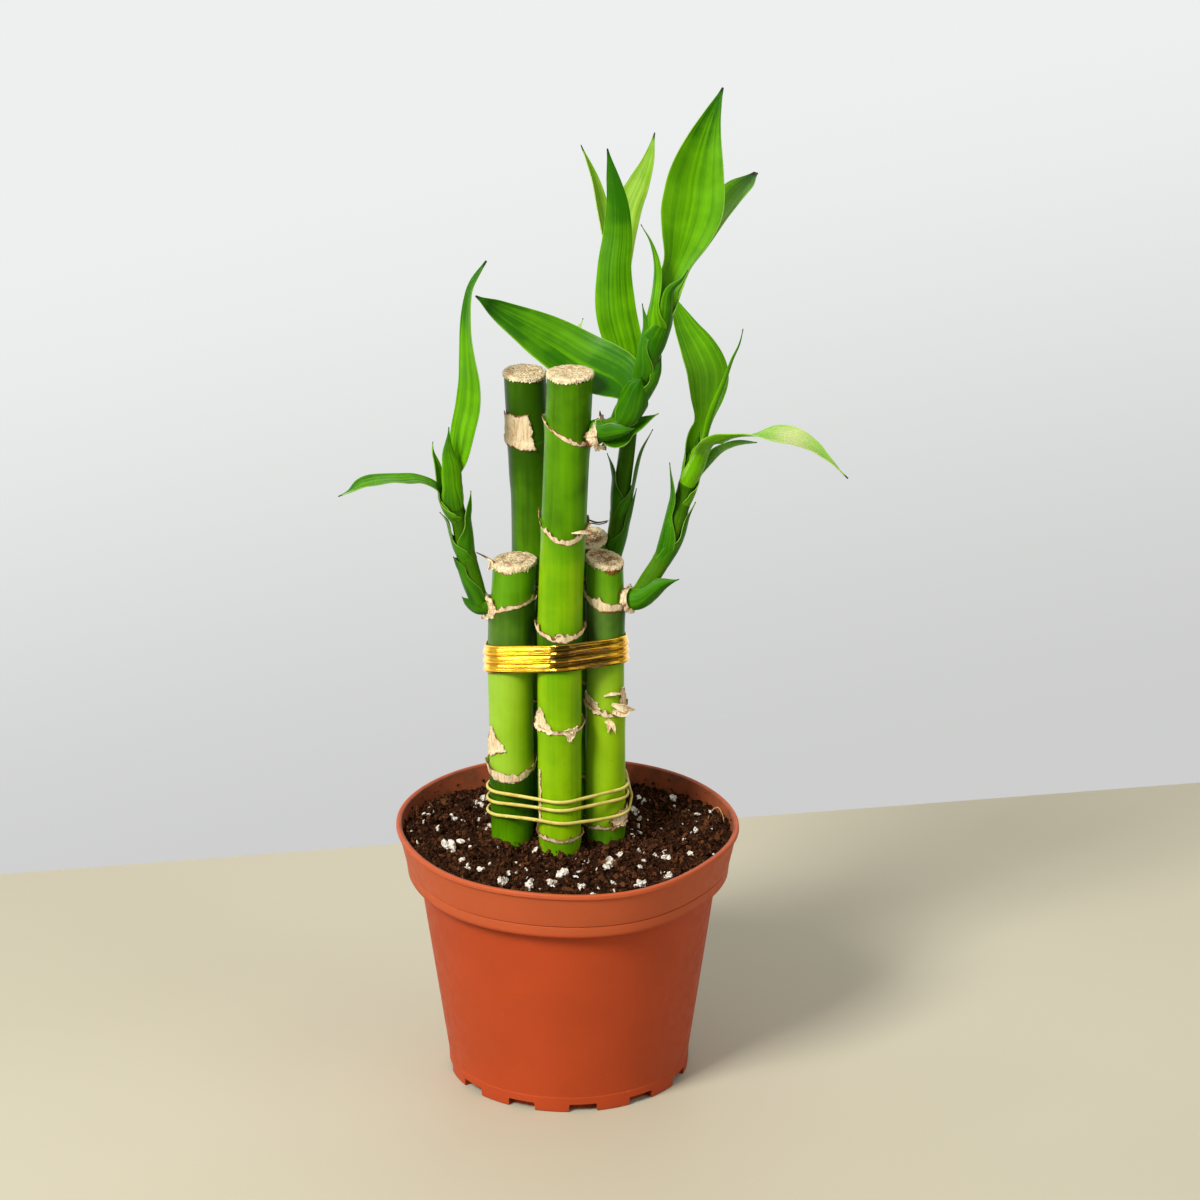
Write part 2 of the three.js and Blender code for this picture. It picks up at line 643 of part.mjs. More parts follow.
/** Sections of a leaf at even steps: centre, side and face directions, width and bend. */
function leafSections(spec, seat) {
  const { curve, inward, hug, sheathShare } = leafMiddle(spec, seat);
  const sections = [];
  const rows = spec.path.length <= SHORT_BLADE ? HUSK_ROWS : LEAF_ROWS;
  let face = inward;
  for (let i = 0; i <= rows; i++) {
    const t = i / rows;
    const axis = curve.getTangentAt(t);
    face = squareTo(face, axis);
    const blade = Math.max(0, (t - sheathShare) / (1 - sheathShare));
    const turn = radians(valueAlong(spec.twist ?? [0, 0], blade));
    const turnedFace = face.clone().applyAxisAngle(axis, -turn);
    const [opens, open] = SHEATH_OPENING;
    const opening = smoothstep(t, sheathShare * opens, sheathShare * open);
    const wrap = radians(SHEATH_WRAP);
    const bladeWidth = spec.width * valueAlong(OUTLINE[spec.outline], blade);
    sections.push({
      centre: curve.getPointAt(t),
      side: new THREE.Vector3().crossVectors(axis, turnedFace),
      face: turnedFace,
      width: mix(wrap * hug, bladeWidth, opening),
      bend: mix(wrap, radians(Math.min(spec.curl, SHEATH_WRAP)), opening),
      thickness: mix(LEAF_THICKNESS, TIP_THICKNESS, smoothstep(blade, 0.7, 1)),
    });
  }
  return sections;
}

/** A leaf's body, or the room it needs when grown by a clearance. */
function leafSolid(spec, grow = 0) {
  const sections = leafSections(spec, SHEATH_SEAT + LEAF_THICKNESS / 2);
  const rows = sections.length - 1;
  const sheet = new THREE.BoxGeometry(1, 1, 1, LEAF_COLUMNS, rows, 1);
  return solidOf(reshape(sheet, (x, y, z) => {
    const row = Math.round((y + 0.5) * rows);
    const { centre, side, face, width, bend, thickness } = sections[row];
    const radius = width / bend;
    const angle = x * bend * (1 + 2 * grow / width);
    const depth = z * (thickness + 2 * grow);
    return centre.clone()
      .addScaledVector(side, (radius - depth) * Math.sin(angle))
      .addScaledVector(face, radius - (radius - depth) * Math.cos(angle));
  }));
}

// ---------------------------------------------------------------------------
// Gold tie and rubber band
// ---------------------------------------------------------------------------

/** The line of a string pulled tight round the bundle at a height: outline(share) is a spot on it. */
function bundleOutline(z, clearance) {
  const stalks = Object.values(STALKS)
    .filter((spec) => spec.path[spec.path.length - 1][2] > z)
    .map((spec) => stalkAt(spec, z));
  const around = [];
  for (let degree = 0; degree < FULL_TURN; degree++) {
    const out = new THREE.Vector3(Math.cos(radians(degree)), -Math.sin(radians(degree)), 0);
    const reach = ({ centre, radius }) => centre.dot(out) + radius;
    const outer = stalks.reduce((best, stalk) => (reach(stalk) > reach(best) ? stalk : best));
    const spot = outer.centre.clone().addScaledVector(out, outer.radius + clearance);
    around.push({ spot: spot.setZ(0), out });
  }
  const lengths = [0];
  around.forEach(({ spot }, i) => {
    lengths.push(lengths[i] + spot.distanceTo(around[(i + 1) % FULL_TURN].spot));
  });
  const whole = lengths[FULL_TURN];
  return (share) => {
    const length = (((share % 1) + 1) % 1) * whole;
    const i = Math.max(0, lengths.findIndex((value) => value > length) - 1);
    const part = (length - lengths[i]) / (lengths[i + 1] - lengths[i]);
    const [a, b] = [around[i], around[(i + 1) % FULL_TURN]];
    return {
      spot: a.spot.clone().lerp(b.spot, part),
      out: a.out.clone().lerp(b.out, part).normalize(),
    };
  };
}

/** The tie's height where it passes a spot: flat behind, climbing to the front. */
function tieLevel({ x, y }) {
  const climb = (Math.hypot(y, TIE.bend) - y) / 2;
  return TIE.level + TIE.leanX * x + TIE.rise * climb;
}

function tieSolid() {
  const outline = bundleOutline(TIE.level, GAP + NODE_SWELL);
  const band = loop(TIE.section, TIE.steps, (step, [out, up]) => {
    const place = outline(-step / TIE.steps);
    const spot = place.spot.addScaledVector(place.out, out);
    return spot.setZ(tieLevel(spot) + up);
  });
  const tail = curveThrough(TIE.tail.map(point));
  const rings = [0, 0.25, 0.5, 0.75, 1].map((share) => ({
    centre: tail.getPointAt(share),
    axis: tail.getTangentAt(share),
    radius: TIE.tailRadius,
  }));
  return solidOf(band).add(solidOf(tubeThrough(rings, 6)));
}

/** Height and lift of the rubber band at a turn, between the route's rows. */
function bandAt(turn) {
  const route = [...BAND.route, [BAND.turns, BAND.route[0][1], BAND.route[0][2]]];
  const i = Math.max(1, route.findIndex(([at]) => at > turn));
  const [from, to] = [route[i - 1], route[i]];
  const share = smoothstep(turn, from[0], to[0]);
  return { z: mix(from[1], to[1], share), lift: mix(from[2], to[2], share) };
}

function bandSolid() {
  const outline = bundleOutline(BAND.level, GAP + BAND.radius);
  const total = BAND.turns * BAND.stepsPerTurn;
  const points = [];
  for (let step = 0; step < total; step++) {
    const turn = step / BAND.stepsPerTurn;
    const { z, lift } = bandAt(turn);
    const { spot, out } = outline(turn);
    points.push(spot.addScaledVector(out, lift).setZ(z));
  }
  const path = new THREE.CatmullRomCurve3(points, true, "catmullrom", 0.5);
  return solidOf(new THREE.TubeGeometry(path, total, BAND.radius, BAND.sides, true));
}

// ---------------------------------------------------------------------------
// Assembly
// ---------------------------------------------------------------------------

const model = new THREE.Group();
model.name = "lucky_bamboo";

function addPart(name, solid, material) {
  const mesh = new THREE.Mesh(geometryOf(solid), material);
  mesh.name = name;
  model.add(mesh);
}

const grownStalks = Object.fromEntries(
  Object.entries(STALKS).map(([name, spec]) => [name, stalkSolid(spec, GAP)]));
const grownShoots = Object.values(SHOOTS).map((spec) => shootSolid(spec, GAP));

addPart("pot", potSolid(), paint(PLASTIC, 0.5));
addPart("soil", soilSolid(Object.values(grownStalks)), paint(PEAT, 1));

for (const [name, spec] of Object.entries(STALKS)) {
  addPart(name, stalkSolid(spec), paint(STALK_GREEN, 0.4));
}

for (const [name, spec] of Object.entries(SHOOTS)) {
  const shoot = shootSolid(spec).subtract(grownStalks[spec.from]);
  addPart(name, shoot, paint(SHOOT_GREEN, 0.4));
}

// Leaves nearest a shoot's growing tip lie innermost, so each one makes room for the later ones.
const leafEntries = Object.entries(LEAVES);
leafEntries.forEach(([name, spec], i) => {
  let leaf = leafSolid(spec);
  const neighbours = [
    ...Object.values(grownStalks),
    ...grownShoots,
    ...leafEntries.slice(i + 1).map(([, later]) => leafSolid(later, GAP)),
  ];
  for (const neighbour of neighbours) {
    leaf = leaf.subtract(neighbour);
  }
  const green = YOUNG_LEAVES.includes(name) ? YOUNG_GREEN : LEAF_GREEN;
  addPart(name, leaf, paint(green, 0.45));
});

addPart("gold_tie", tieSolid(), paint(GOLD, 0.25, 1));
addPart("rubber_band", bandSolid(), paint(RUBBER, 0.8));

export default model;
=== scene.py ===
"""Lucky bamboo in its nursery pot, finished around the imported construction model.

Five cut canes stand in a tied bundle in a small pot of peat, each with a leafy shoot. Lengths are
in millimetres until a mesh is written; +X is the viewer's right and +Y points away from the viewer.
"""

import logging
import math
from collections.abc import Callable, Sequence
from dataclasses import dataclass
from enum import Enum
from random import Random

import bpy
import numpy as np
from mathutils import Euler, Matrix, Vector
from mathutils.kdtree import KDTree

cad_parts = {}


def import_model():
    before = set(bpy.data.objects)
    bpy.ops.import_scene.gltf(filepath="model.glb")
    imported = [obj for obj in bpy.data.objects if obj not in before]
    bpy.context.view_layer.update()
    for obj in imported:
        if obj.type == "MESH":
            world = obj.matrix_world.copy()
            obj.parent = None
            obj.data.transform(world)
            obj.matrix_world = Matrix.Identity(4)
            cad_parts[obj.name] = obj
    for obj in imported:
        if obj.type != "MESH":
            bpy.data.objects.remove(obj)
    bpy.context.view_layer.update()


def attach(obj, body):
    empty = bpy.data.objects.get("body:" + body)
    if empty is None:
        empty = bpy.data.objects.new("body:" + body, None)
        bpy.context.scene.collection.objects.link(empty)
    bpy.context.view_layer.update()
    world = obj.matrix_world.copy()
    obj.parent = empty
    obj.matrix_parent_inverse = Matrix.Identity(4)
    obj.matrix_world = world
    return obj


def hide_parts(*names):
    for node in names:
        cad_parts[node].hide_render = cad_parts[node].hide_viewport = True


log = logging.getLogger("lucky_bamboo")

MM = 0.001
TURN = 2 * math.pi
FRONT = -math.pi / 2  # the direction of the viewer, as an angle from +X
GOLDEN = 0.618  # spreads repeated draws evenly

Point = tuple[float, float, float]
Pairs = Sequence[tuple[float, float]]
Copy = tuple[int, Point, Point, Point]  # which template, and the copy's centre, turn and size
Rows = np.ndarray
Piece = bpy.types.Object
Socket = bpy.types.NodeSocket
Material = bpy.types.Material


# --- Numbers ---


def smooth(value: Rows, low: float, high: float) -> Rows:
    """An eased step from 0 at low to 1 at high."""
    share = np.clip((np.asarray(value, float) - low) / (high - low), 0, 1)
    return share * share * (3 - 2 * share)


def between(low: Rows, high: Rows, share: Rows) -> Rows:
    """The value at a share of the way from low to high."""
    return low + (high - low) * share


def eased_span(p0: Rows, p1: Rows, p2: Rows, p3: Rows, f: Rows) -> Rows:
    """A smooth way from p1 at f = 0 to p2 at f = 1, that fits the neighbours p0 and p3."""
    t0, t1 = (p2 - p0) / 2, (p3 - p1) / 2
    return (2 * p1 - 2 * p2 + t0 + t1) * f**3 + (3 * p2 - 3 * p1 - 2 * t0 - t1) * f * f + t0 * f + p1


def along(keys: Sequence[float], share: Rows) -> Rows:
    """A smooth line through evenly spaced keys.

    Args:
        keys: The values at even steps from 0 to 1.
        share: Where to read the line.

    Returns:
        The value at each share.
    """
    values = np.array(keys, float)
    spot = np.clip(share, 0, 1) * (len(values) - 1)
    i = np.clip(spot.astype(int), 0, len(values) - 2)
    near = (values[np.clip(i + k, 0, len(values) - 1)] for k in (-1, 0, 1, 2))
    return eased_span(*near, spot - i)


def read_off(pairs: Pairs, spot: Rows) -> Rows:
    """The value at a spot, on straight lines through pairs of a spot and its value."""
    return np.interp(spot, *np.array(pairs).T)


def uneven(angle: Rows, seed: str, waves: Sequence[int], fall: float = 0.6) -> Rows:
    """A repeatable uneven line round a circle.

    Args:
        angle: Where to read it, in radians.
        seed: Any text; the same text gives the same line.
        waves: How many waves each layer has in a turn.
        fall: How fast the finer layers get smaller.

    Returns:
        Values that stay between -1 and 1.
    """
    draw = Random(seed)
    sizes = [(waves[0] / wave) ** fall for wave in waves]
    layers = [size * np.cos(wave * angle + draw.uniform(0, TURN)) for size, wave in zip(sizes, waves)]
    return sum(layers) / sum(sizes)


def unit(rows: Rows) -> Rows:
    """Each row at unit length."""
    return rows / np.linalg.norm(rows, axis=-1, keepdims=True)


def nearest(share: Rows, steps: int) -> Rows:
    """The number of the even step that each share is nearest to."""
    return np.rint(share * steps).astype(int)


def polar(reach: Rows, angle: Rows, z: Rows, middle: Rows = np.zeros(2)) -> Rows:
    """Points at a reach and an angle from a middle, at a height."""
    x, y = middle[..., 0] + reach * np.cos(angle), middle[..., 1] + reach * np.sin(angle)
    return np.stack(np.broadcast_arrays(x, y, z), axis=-1)


class SmoothLine:
    """A smooth line through given points, read by its length."""

    STEPS = 24
    REACH = 0.01

    def __init__(self, points: Sequence[Sequence[float]]) -> None:
        """Lays the line.

        Args:
            points: The points that it passes through.
        """
        given = np.array(points, float)
        padded = np.vstack([2 * given[0] - given[1], given, 2 * given[-1] - given[-2]])
        f = np.linspace(0, 1, self.STEPS, endpoint=False)[:, None]
        spans = [eased_span(*padded[i:i + 4], f) for i in range(len(given) - 1)]
        self.points = np.vstack([*spans, given[-1:]])
        steps = np.linalg.norm(np.diff(self.points, axis=0), axis=1)
        self.lengths = np.concatenate([[0], np.cumsum(steps)])
        self.length = float(self.lengths[-1])

    def at(self, share: Rows) -> Rows:
        """The points at shares of the line's length."""
        spots = np.atleast_1d(share) * self.length
        return np.stack([np.interp(spots, self.lengths, axis) for axis in self.points.T], axis=-1)

    def direction(self, share: Rows) -> Rows:
        """The unit directions at shares of the line's length."""
        low, high = np.clip(share - self.REACH, 0, 1), np.clip(share + self.REACH, 0, 1)
        return unit(self.at(high) - self.at(low))


def carried_frame(directions: Rows, start: Sequence[float], turn: Rows | float = 0) -> tuple[Rows, Rows]:
    """Carries a facing direction along a line, and then twists it.

    Args:
        directions: The line's direction at each step.
        start: The facing direction at the first step.
        turn: The twist about the line at each step, in radians.

    Returns:
        The sideways and the facing directions at each step, both square to the line.
    """
    faces = np.zeros_like(directions)
    face = np.array(start, float)
    for i, direction in enumerate(directions):
        face = unit(face - direction * (face @ direction))
        faces[i] = face
    turn = np.reshape(turn, (-1, 1))
    faces = faces * np.cos(turn) + np.cross(directions, faces) * np.sin(turn)
    return np.cross(directions, faces), faces


# --- Modelling moves ---


def deselect() -> None:
    """Selects nothing."""
    bpy.ops.object.select_all(action="DESELECT")


def activate(piece: Piece) -> None:
    """Selects one piece alone.

    Args:
        piece: The piece to select.
    """
    deselect()
    piece.select_set(True)
    bpy.context.view_layer.objects.active = piece


def named(name: str) -> Piece:
    """Names the piece that was just added.

    Args:
        name: Its name.

    Returns:
        The piece.
    """
    piece = bpy.context.object
    piece.name = piece.data.name = name
    return piece


def read_points(piece: Piece) -> Rows:
    """Reads where the vertices are.

    Args:
        piece: The piece to read.

    Returns:
        A row for each vertex.
    """
    rows = np.empty(len(piece.data.vertices) * 3, np.float32)
    piece.data.vertices.foreach_get("co", rows)
    return rows.reshape(-1, 3).astype(float)


def write_points(piece: Piece, rows: Rows) -> None:
    """Moves the piece's vertices."""
    piece.data.vertices.foreach_set("co", rows.astype(np.float32).ravel())
    piece.data.update()


def note(piece: Piece, name: str, values: Rows | float) -> None:
    """Stores a number at each vertex, or one for all of them, for a material to read."""
    layer = piece.data.attributes.get(name) or piece.data.attributes.new(name, "FLOAT", "POINT")
    layer.data.foreach_set("value", np.full(len(piece.data.vertices), values, np.float32))


def modify(piece: Piece, kind: str, **settings: object) -> None:
    """Adds a modifier and applies it.

    Args:
        piece: The piece that it works on.
        kind: The modifier's type.
        settings: Its values, by name.
    """
    modifier = piece.modifiers.new(kind.lower(), kind)
    for name, value in settings.items():
        setattr(modifier, name, value)
    activate(piece)
    bpy.ops.object.modifier_apply(modifier=modifier.name)


def in_edit_mode(piece: Piece, *moves: Callable[[], object]) -> None:
    """Runs edit-mode moves, each with the whole mesh selected.

    Args:
        piece: The piece to edit.
        moves: Functions that call one operator each.
    """
    activate(piece)
    bpy.ops.object.mode_set(mode="EDIT")
    for move in moves:
        bpy.ops.mesh.select_all(action="SELECT")
        move()
    bpy.ops.object.mode_set(mode="OBJECT")


def weld() -> None:
    """Joins vertices that meet."""
    bpy.ops.mesh.remove_doubles(threshold=1e-6)


def face_out() -> None:
    """Turns every face outwards."""
    bpy.ops.mesh.normals_make_consistent(inside=False)


def cap_ends() -> None:
    """Closes every open edge with a face."""
    bpy.ops.mesh.fill_holes(sides=0)


def shade(piece: Piece, degrees: float = 50) -> None:
    """Smooths the shading except over edges sharper than an angle."""
    activate(piece)
    bpy.ops.object.shade_smooth_by_angle(angle=math.radians(degrees))


def flat_sheet(name: str, columns: int, rows: int) -> tuple[Piece, Rows, Rows]:
    """Adds a flat grid, to be bent to its shape by moving its vertices.

    Args:
        name: The piece's name.
        columns: How many faces it has across.
        rows: How many faces it has along.

    Returns:
        The sheet, and where each vertex is across it (-1 to 1) and along it (0 to 1).
    """
    deselect()
    bpy.ops.mesh.primitive_grid_add(x_subdivisions=columns, y_subdivisions=rows, size=2)
    piece = named(name)
    across, depth, _ = read_points(piece).T
    return piece, across, (depth + 1) / 2


def close_tube(piece: Piece, capped: bool = True) -> None:
    """Welds the seam of a sheet that was bent round, and closes its ends if they are capped."""
    in_edit_mode(piece, weld, *([cap_ends] if capped else []), face_out)


def thicken(piece: Piece, thickness: float, offset: float = 0) -> None:
    """Gives a sheet its thickness in millimetres, with closed edges."""
    modify(piece, "SOLIDIFY", thickness=thickness * MM, offset=offset, use_rim=True)


def tube(
    name: str, sides: int, centre: Rows, frame: tuple[Rows, Rows], radius: Rows, capped: bool = True
) -> Piece:
    """A tube along a line.

    Args:
        name: The piece's name.
        sides: How many faces it has round.
        centre: The points of its middle.
        frame: Two directions square to the line at each point.
        radius: Its radius at each point.
        capped: Whether its two ends are closed.

    Returns:
        The tube.
    """
    rows = len(centre) - 1
    piece, round_it, along_it = flat_sheet(name, sides, rows)
    row, angle = nearest(along_it, rows), (round_it * math.pi)[:, None]
    spoke = frame[0][row] * np.cos(angle) + frame[1][row] * np.sin(angle)
    write_points(piece, (centre[row] + spoke * radius[row][:, None]) * MM)
    close_tube(piece, capped)
    return piece


def strip(
    name: str,
    path: Sequence[Point],
    widths: Sequence[float],
    face: Point,
    turns: Sequence[float] = (0, 0),
    curl: float = 40,
    thickness: float = 0.25,
    size: tuple[int, int] = (6, 20),
) -> Piece:
    """A narrow curled strip along a smooth line, such as a fibre, flake or ribbon's end.

    Args:
        name: The piece's name.
        path: The points of its middle.
        widths: Its width at even steps.
        face: The direction that its hollow side faces at the start.
        turns: How far it is twisted at even steps, in degrees.
        curl: How far its section bends, in degrees.
        thickness: Its thickness.
        size: How many faces it has across and along.

    Returns:
        The strip, closed all round.
    """
    columns, rows = size
    share = np.linspace(0, 1, rows + 1)
    line = SmoothLine(path)
    centre = line.at(share)
    sides, faces = carried_frame(line.direction(share), face, np.radians(along(turns, share)))
    width = along(widths, share)
    bend = math.radians(curl)
    piece, across, along_it = flat_sheet(name, columns, rows)
    row = nearest(along_it, rows)
    radius, angle = (width[row] / bend)[:, None], (across * bend / 2)[:, None]
    points = centre[row] + sides[row] * radius * np.sin(angle) + faces[row] * radius * (1 - np.cos(angle))
    write_points(piece, points * MM)
    thicken(piece, thickness)
    return piece


def joined(name: str, pieces: Sequence[Piece]) -> Piece:
    """Joins pieces into one.

    Args:
        name: The name of the whole.
        pieces: The pieces, of which the first takes in the others.

    Returns:
        The whole.
    """
    activate(pieces[0])
    for piece in pieces:
        piece.select_set(True)
    if len(pieces) > 1:
        bpy.ops.object.join()
    return named(name)


def scattered(name: str, templates: Sequence[Piece], places: Sequence[Copy]) -> Piece:
    """Copies small templates to many places as one piece, and removes the templates.

    Args:
        name: The piece's name.
        templates: Meshes about one unit in size.
        places: For each copy, its template, centre, turn and size, with lengths in millimetres.

    Returns:
        The piece, with a vertex number "variety" that differs from copy to copy.
    """
    shapes = []
    for template in templates:
        shapes.append((read_points(template), [list(face.vertices) for face in template.data.polygons]))
        bpy.data.objects.remove(template)
    vertices, faces, variety, total = [], [], [], 0
    for i, (which, centre, turn, size) in enumerate(places):
        points, polygons = shapes[which]
        turned = (points * np.array(size)) @ np.array(Euler(turn).to_matrix()).T
        vertices.append((turned + np.array(centre)) * MM)
        faces.extend([corner + total for corner in face] for face in polygons)
        variety.append(np.full(len(points), (i * GOLDEN) % 1))
        total += len(points)
    mesh = bpy.data.meshes.new(name)
    mesh.from_pydata(np.vstack(vertices), [], faces)
    piece = bpy.data.objects.new(name, mesh)
    bpy.context.scene.collection.objects.link(piece)
    note(piece, "variety", np.concatenate(variety))
    return piece


def pebble(name: str, seed: str, detail: int, roughness: float) -> Piece:
    """An uneven lump of unit radius, as a template for scattering.

    Args:
        name: The template's name.
        seed: Any text; the same text gives the same lump.
        detail: How finely it is divided.
        roughness: How far its surface strays from round.

    Returns:
        The lump.
    """
    deselect()
    bpy.ops.mesh.primitive_ico_sphere_add(subdivisions=detail, radius=1)
    piece = named(name)
    points = read_points(piece)
    draw = Random(seed)
    bulge = np.zeros(len(points))
    for wave in (1.5, 2.5, 4.0, 6.0):
        tilt = np.array([draw.gauss(0, 1) for _ in range(3)])
        bulge += np.cos(points @ unit(tilt) * wave + draw.uniform(0, TURN)) / wave**0.6
    write_points(piece, points * (1 + roughness * bulge)[:, None])
    return piece


def thread(name: str, path: Sequence[Point], radii: Sequence[float], sides: int = 5) -> Piece:
    """A round thread along a smooth line, such as a twig or a coir fibre.

    Args:
        name: The piece's name.
        path: The points of its middle.
        radii: Its radius at even steps.
        sides: How many faces it has round.

    Returns:
        The thread, closed at its ends.
    """
    share = np.linspace(0, 1, 4 * (len(path) - 1) + 1)
    line = SmoothLine(path)
    axis = line.direction(share)
    frame = carried_frame(axis, np.cross(axis[0], (0.3, 0.5, 0.8)))
    return tube(name, sides, line.at(share), frame, along(radii, share))


# --- Finishes ---


def tint(code: str) -> tuple[float, float, float, float]:
    """Turns a screen colour into linear light.

    Args:
        code: The screen colour, such as "c4562f".

    Returns:
        Red, green, blue and a full alpha.
    """
    parts = [int(code[i:i + 2], 16) / 255 for i in (0, 2, 4)]
    red, green, blue = (c / 12.92 if c <= 0.04045 else ((c + 0.055) / 1.055) ** 2.4 for c in parts)
    return red, green, blue, 1.0


class Nodes:
    """A shader's nodes, added one call at a time. Each call gives the socket to use next."""

    def __init__(self, tree: bpy.types.NodeTree) -> None:
        """Works on a tree."""
        self.tree = tree

    def node(self, kind: str, inputs: dict, output: int | str = 0, **settings: object) -> Socket:
        """Adds a node.

        Args:
            kind: The node's type.
            inputs: A number, colour or socket for each input that is set.
            output: Which output to return.
            settings: The node's own properties.

        Returns:
            The output socket.
        """
        made = self.tree.nodes.new(kind)
        for name, value in settings.items():
            setattr(made, name, value)
        for key, value in inputs.items():
            self.feed(made.inputs[key], value)
        return made.outputs[output]

    def feed(self, socket: Socket, value: object) -> None:
        """Sets an input.

        Args:
            socket: The input.
            value: A socket to link it to, or its own value.
        """
        if isinstance(value, Socket):
            self.tree.links.new(value, socket)
        else:
            socket.default_value = value

    def place(self, scale: Point = (1, 1, 1), kind: str = "Object") -> Socket:
        """The surface's own coordinates, stretched."""
        spot = self.node("ShaderNodeTexCoord", {}, kind)
        return self.node("ShaderNodeMapping", {"Vector": spot, "Scale": scale})

    def split(self, vector: Socket) -> tuple[Socket, Socket, Socket]:
        """The three parts of a vector."""
        return tuple(self.node("ShaderNodeSeparateXYZ", {0: vector}, 0).node.outputs)

    def number(self, name: str) -> Socket:
        """A number stored at the vertices."""
        return self.node("ShaderNodeAttribute", {}, "Fac", attribute_name=name)

    def noise(self, vector: Socket, scale: float, detail: float = 3, rough: float = 0.5) -> Socket:
        """Cloudy noise, about 0 to 1."""
        inputs = {"Vector": vector, "Scale": scale, "Detail": detail, "Roughness": rough}
        return self.node("ShaderNodeTexNoise", inputs, "Fac")

    def cells(self, vector: Socket, scale: float) -> Socket:
        """Distance to the nearest of many scattered points."""
        return self.node("ShaderNodeTexVoronoi", {"Vector": vector, "Scale": scale}, "Distance")

    def maths(self, operation: str, a: object, b: object = 0.0, clamp: bool = False) -> Socket:
        """One sum on two numbers."""
        return self.node("ShaderNodeMath", {0: a, 1: b}, operation=operation, use_clamp=clamp)

    def plus(self, *parts: object) -> Socket:
        """The sum of numbers, added in their order.

        Args:
            parts: The numbers.

        Returns:
            The sum.
        """
        total = parts[0]
        for part in parts[1:]:
            total = self.maths("ADD", total, part)
        return total

    def times(self, a: object, b: object) -> Socket:
        """The product of two numbers."""
        return self.maths("MULTIPLY", a, b)

    def step(self, value: object, low: float, high: float, start: float = 0, end: float = 1) -> Socket:
        """An eased step from start at low to end at high."""
        inputs = {"Value": value, "From Min": low, "From Max": high, "To Min": start, "To Max": end}
        return self.node("ShaderNodeMapRange", inputs, interpolation_type="SMOOTHSTEP")

    def mix(self, share: object, a: object, b: object) -> Socket:
        """A blend of two colours, each a socket or a screen colour's code."""
        first, second = (tint(colour) if isinstance(colour, str) else colour for colour in (a, b))
        return self.node("ShaderNodeMix", {0: share, 6: first, 7: second}, 2, data_type="RGBA")

    def bump(self, height: Socket, strength: float, distance: float, under: Socket | None = None) -> Socket:
        """A bumpy normal.

        Args:
            height: The height of the bumps.
            strength: How strong they are.
            distance: How high they are, in millimetres.
            under: A bumpy normal that they lie on.

        Returns:
            The normal.
        """
        inputs = {"Height": height, "Strength": strength, "Distance": distance * MM}
        if under is not None:
            inputs["Normal"] = under
        return self.node("ShaderNodeBump", inputs)


class Recipe(Nodes):
    """A material in the making."""

    def __init__(self, name: str) -> None:
        """Starts a material with only its shader and output.

        Args:
            name: The material's name.
        """
        self.material = bpy.data.materials.new(name)
        self.material.use_nodes = True
        super().__init__(self.material.node_tree)
        self.shader = self.tree.nodes["Principled BSDF"]

    def paint(self, share: object, colour: object) -> None:
        """Lays a colour over the mix so far."""
        self.colour = self.mix(share, self.colour, colour)

    def done(self, **inputs: object) -> Material:
        """Feeds the shader with the mixed colour and its other inputs.

        Args:
            inputs: A value or socket for each input, by name, with _ for a space.

        Returns:
            The finished material.
        """
        self.feed(self.shader.inputs["Base Color"], self.colour)
        for name, value in inputs.items():
            self.feed(self.shader.inputs[name.replace("_", " ")], value)
        return self.material


@dataclass(frozen=True)
class PotPlastic:
    """Moulded terracotta-coloured plastic with a soft satin face and a little soil dust inside.

    Its inner wall is darkened as painted shade, and its collar is painted lighter as painted light.
    """

    name: str = "terracotta_plastic"
    base: str = "ac411b"
    deep: str = "a43e19"
    dust: str = "3c2012"
    # worn: the lighter orange painted on the collar as painted light
    worn: str = "e0905e"
    # inner: the darker colour laid over the inner wall as painted shade
    inner: str = "54200e"
    speck: str = "cf7a52"
    collar_line: float = 0.0655

    def make(self) -> Material:
        """Mixes the material.

        Returns:
            The material.
        """
        r = Recipe(self.name)
        spot = r.place()
        cloud = r.noise(spot, 45, 3)
        flow = r.noise(r.place((60, 60, 600)), 1, 2)
        r.colour = r.mix(r.step(cloud, 0.3, 0.75), self.base, self.deep)
        r.paint(r.step(flow, 0.35, 0.8, 0, 0.22), self.deep)
        # Painted shade: the whole inner wall is darkened; the smudges after it are soil dust.
        inner = r.number("inside")
        r.paint(r.times(inner, 0.6), self.inner)
        smudge = r.times(r.step(r.noise(spot, 160, 5, 0.65), 0.42, 0.62), inner)
        r.paint(r.times(smudge, 0.75), self.dust)
        specks = r.step(r.noise(spot, 900, 2), 0.72, 0.78)
        r.paint(r.times(specks, 0.25), self.speck)
        # Painted light: everything above this height is painted a little lighter, as the light on the collar.
        collar = r.step(r.split(spot)[2], self.collar_line, self.collar_line + 0.001, 0, 0.13)
        r.paint(collar, self.worn)
        rough = r.step(r.noise(spot, 260, 4, 0.6), 0.3, 0.7, 0.42, 0.56)
        grain = r.noise(spot, 2600, 2, 0.5)
        normal = r.bump(grain, 0.25, 0.05, r.bump(flow, 0.2, 0.1))
        return r.done(Roughness=rough, Normal=normal, Specular_IOR_Level=0.15)


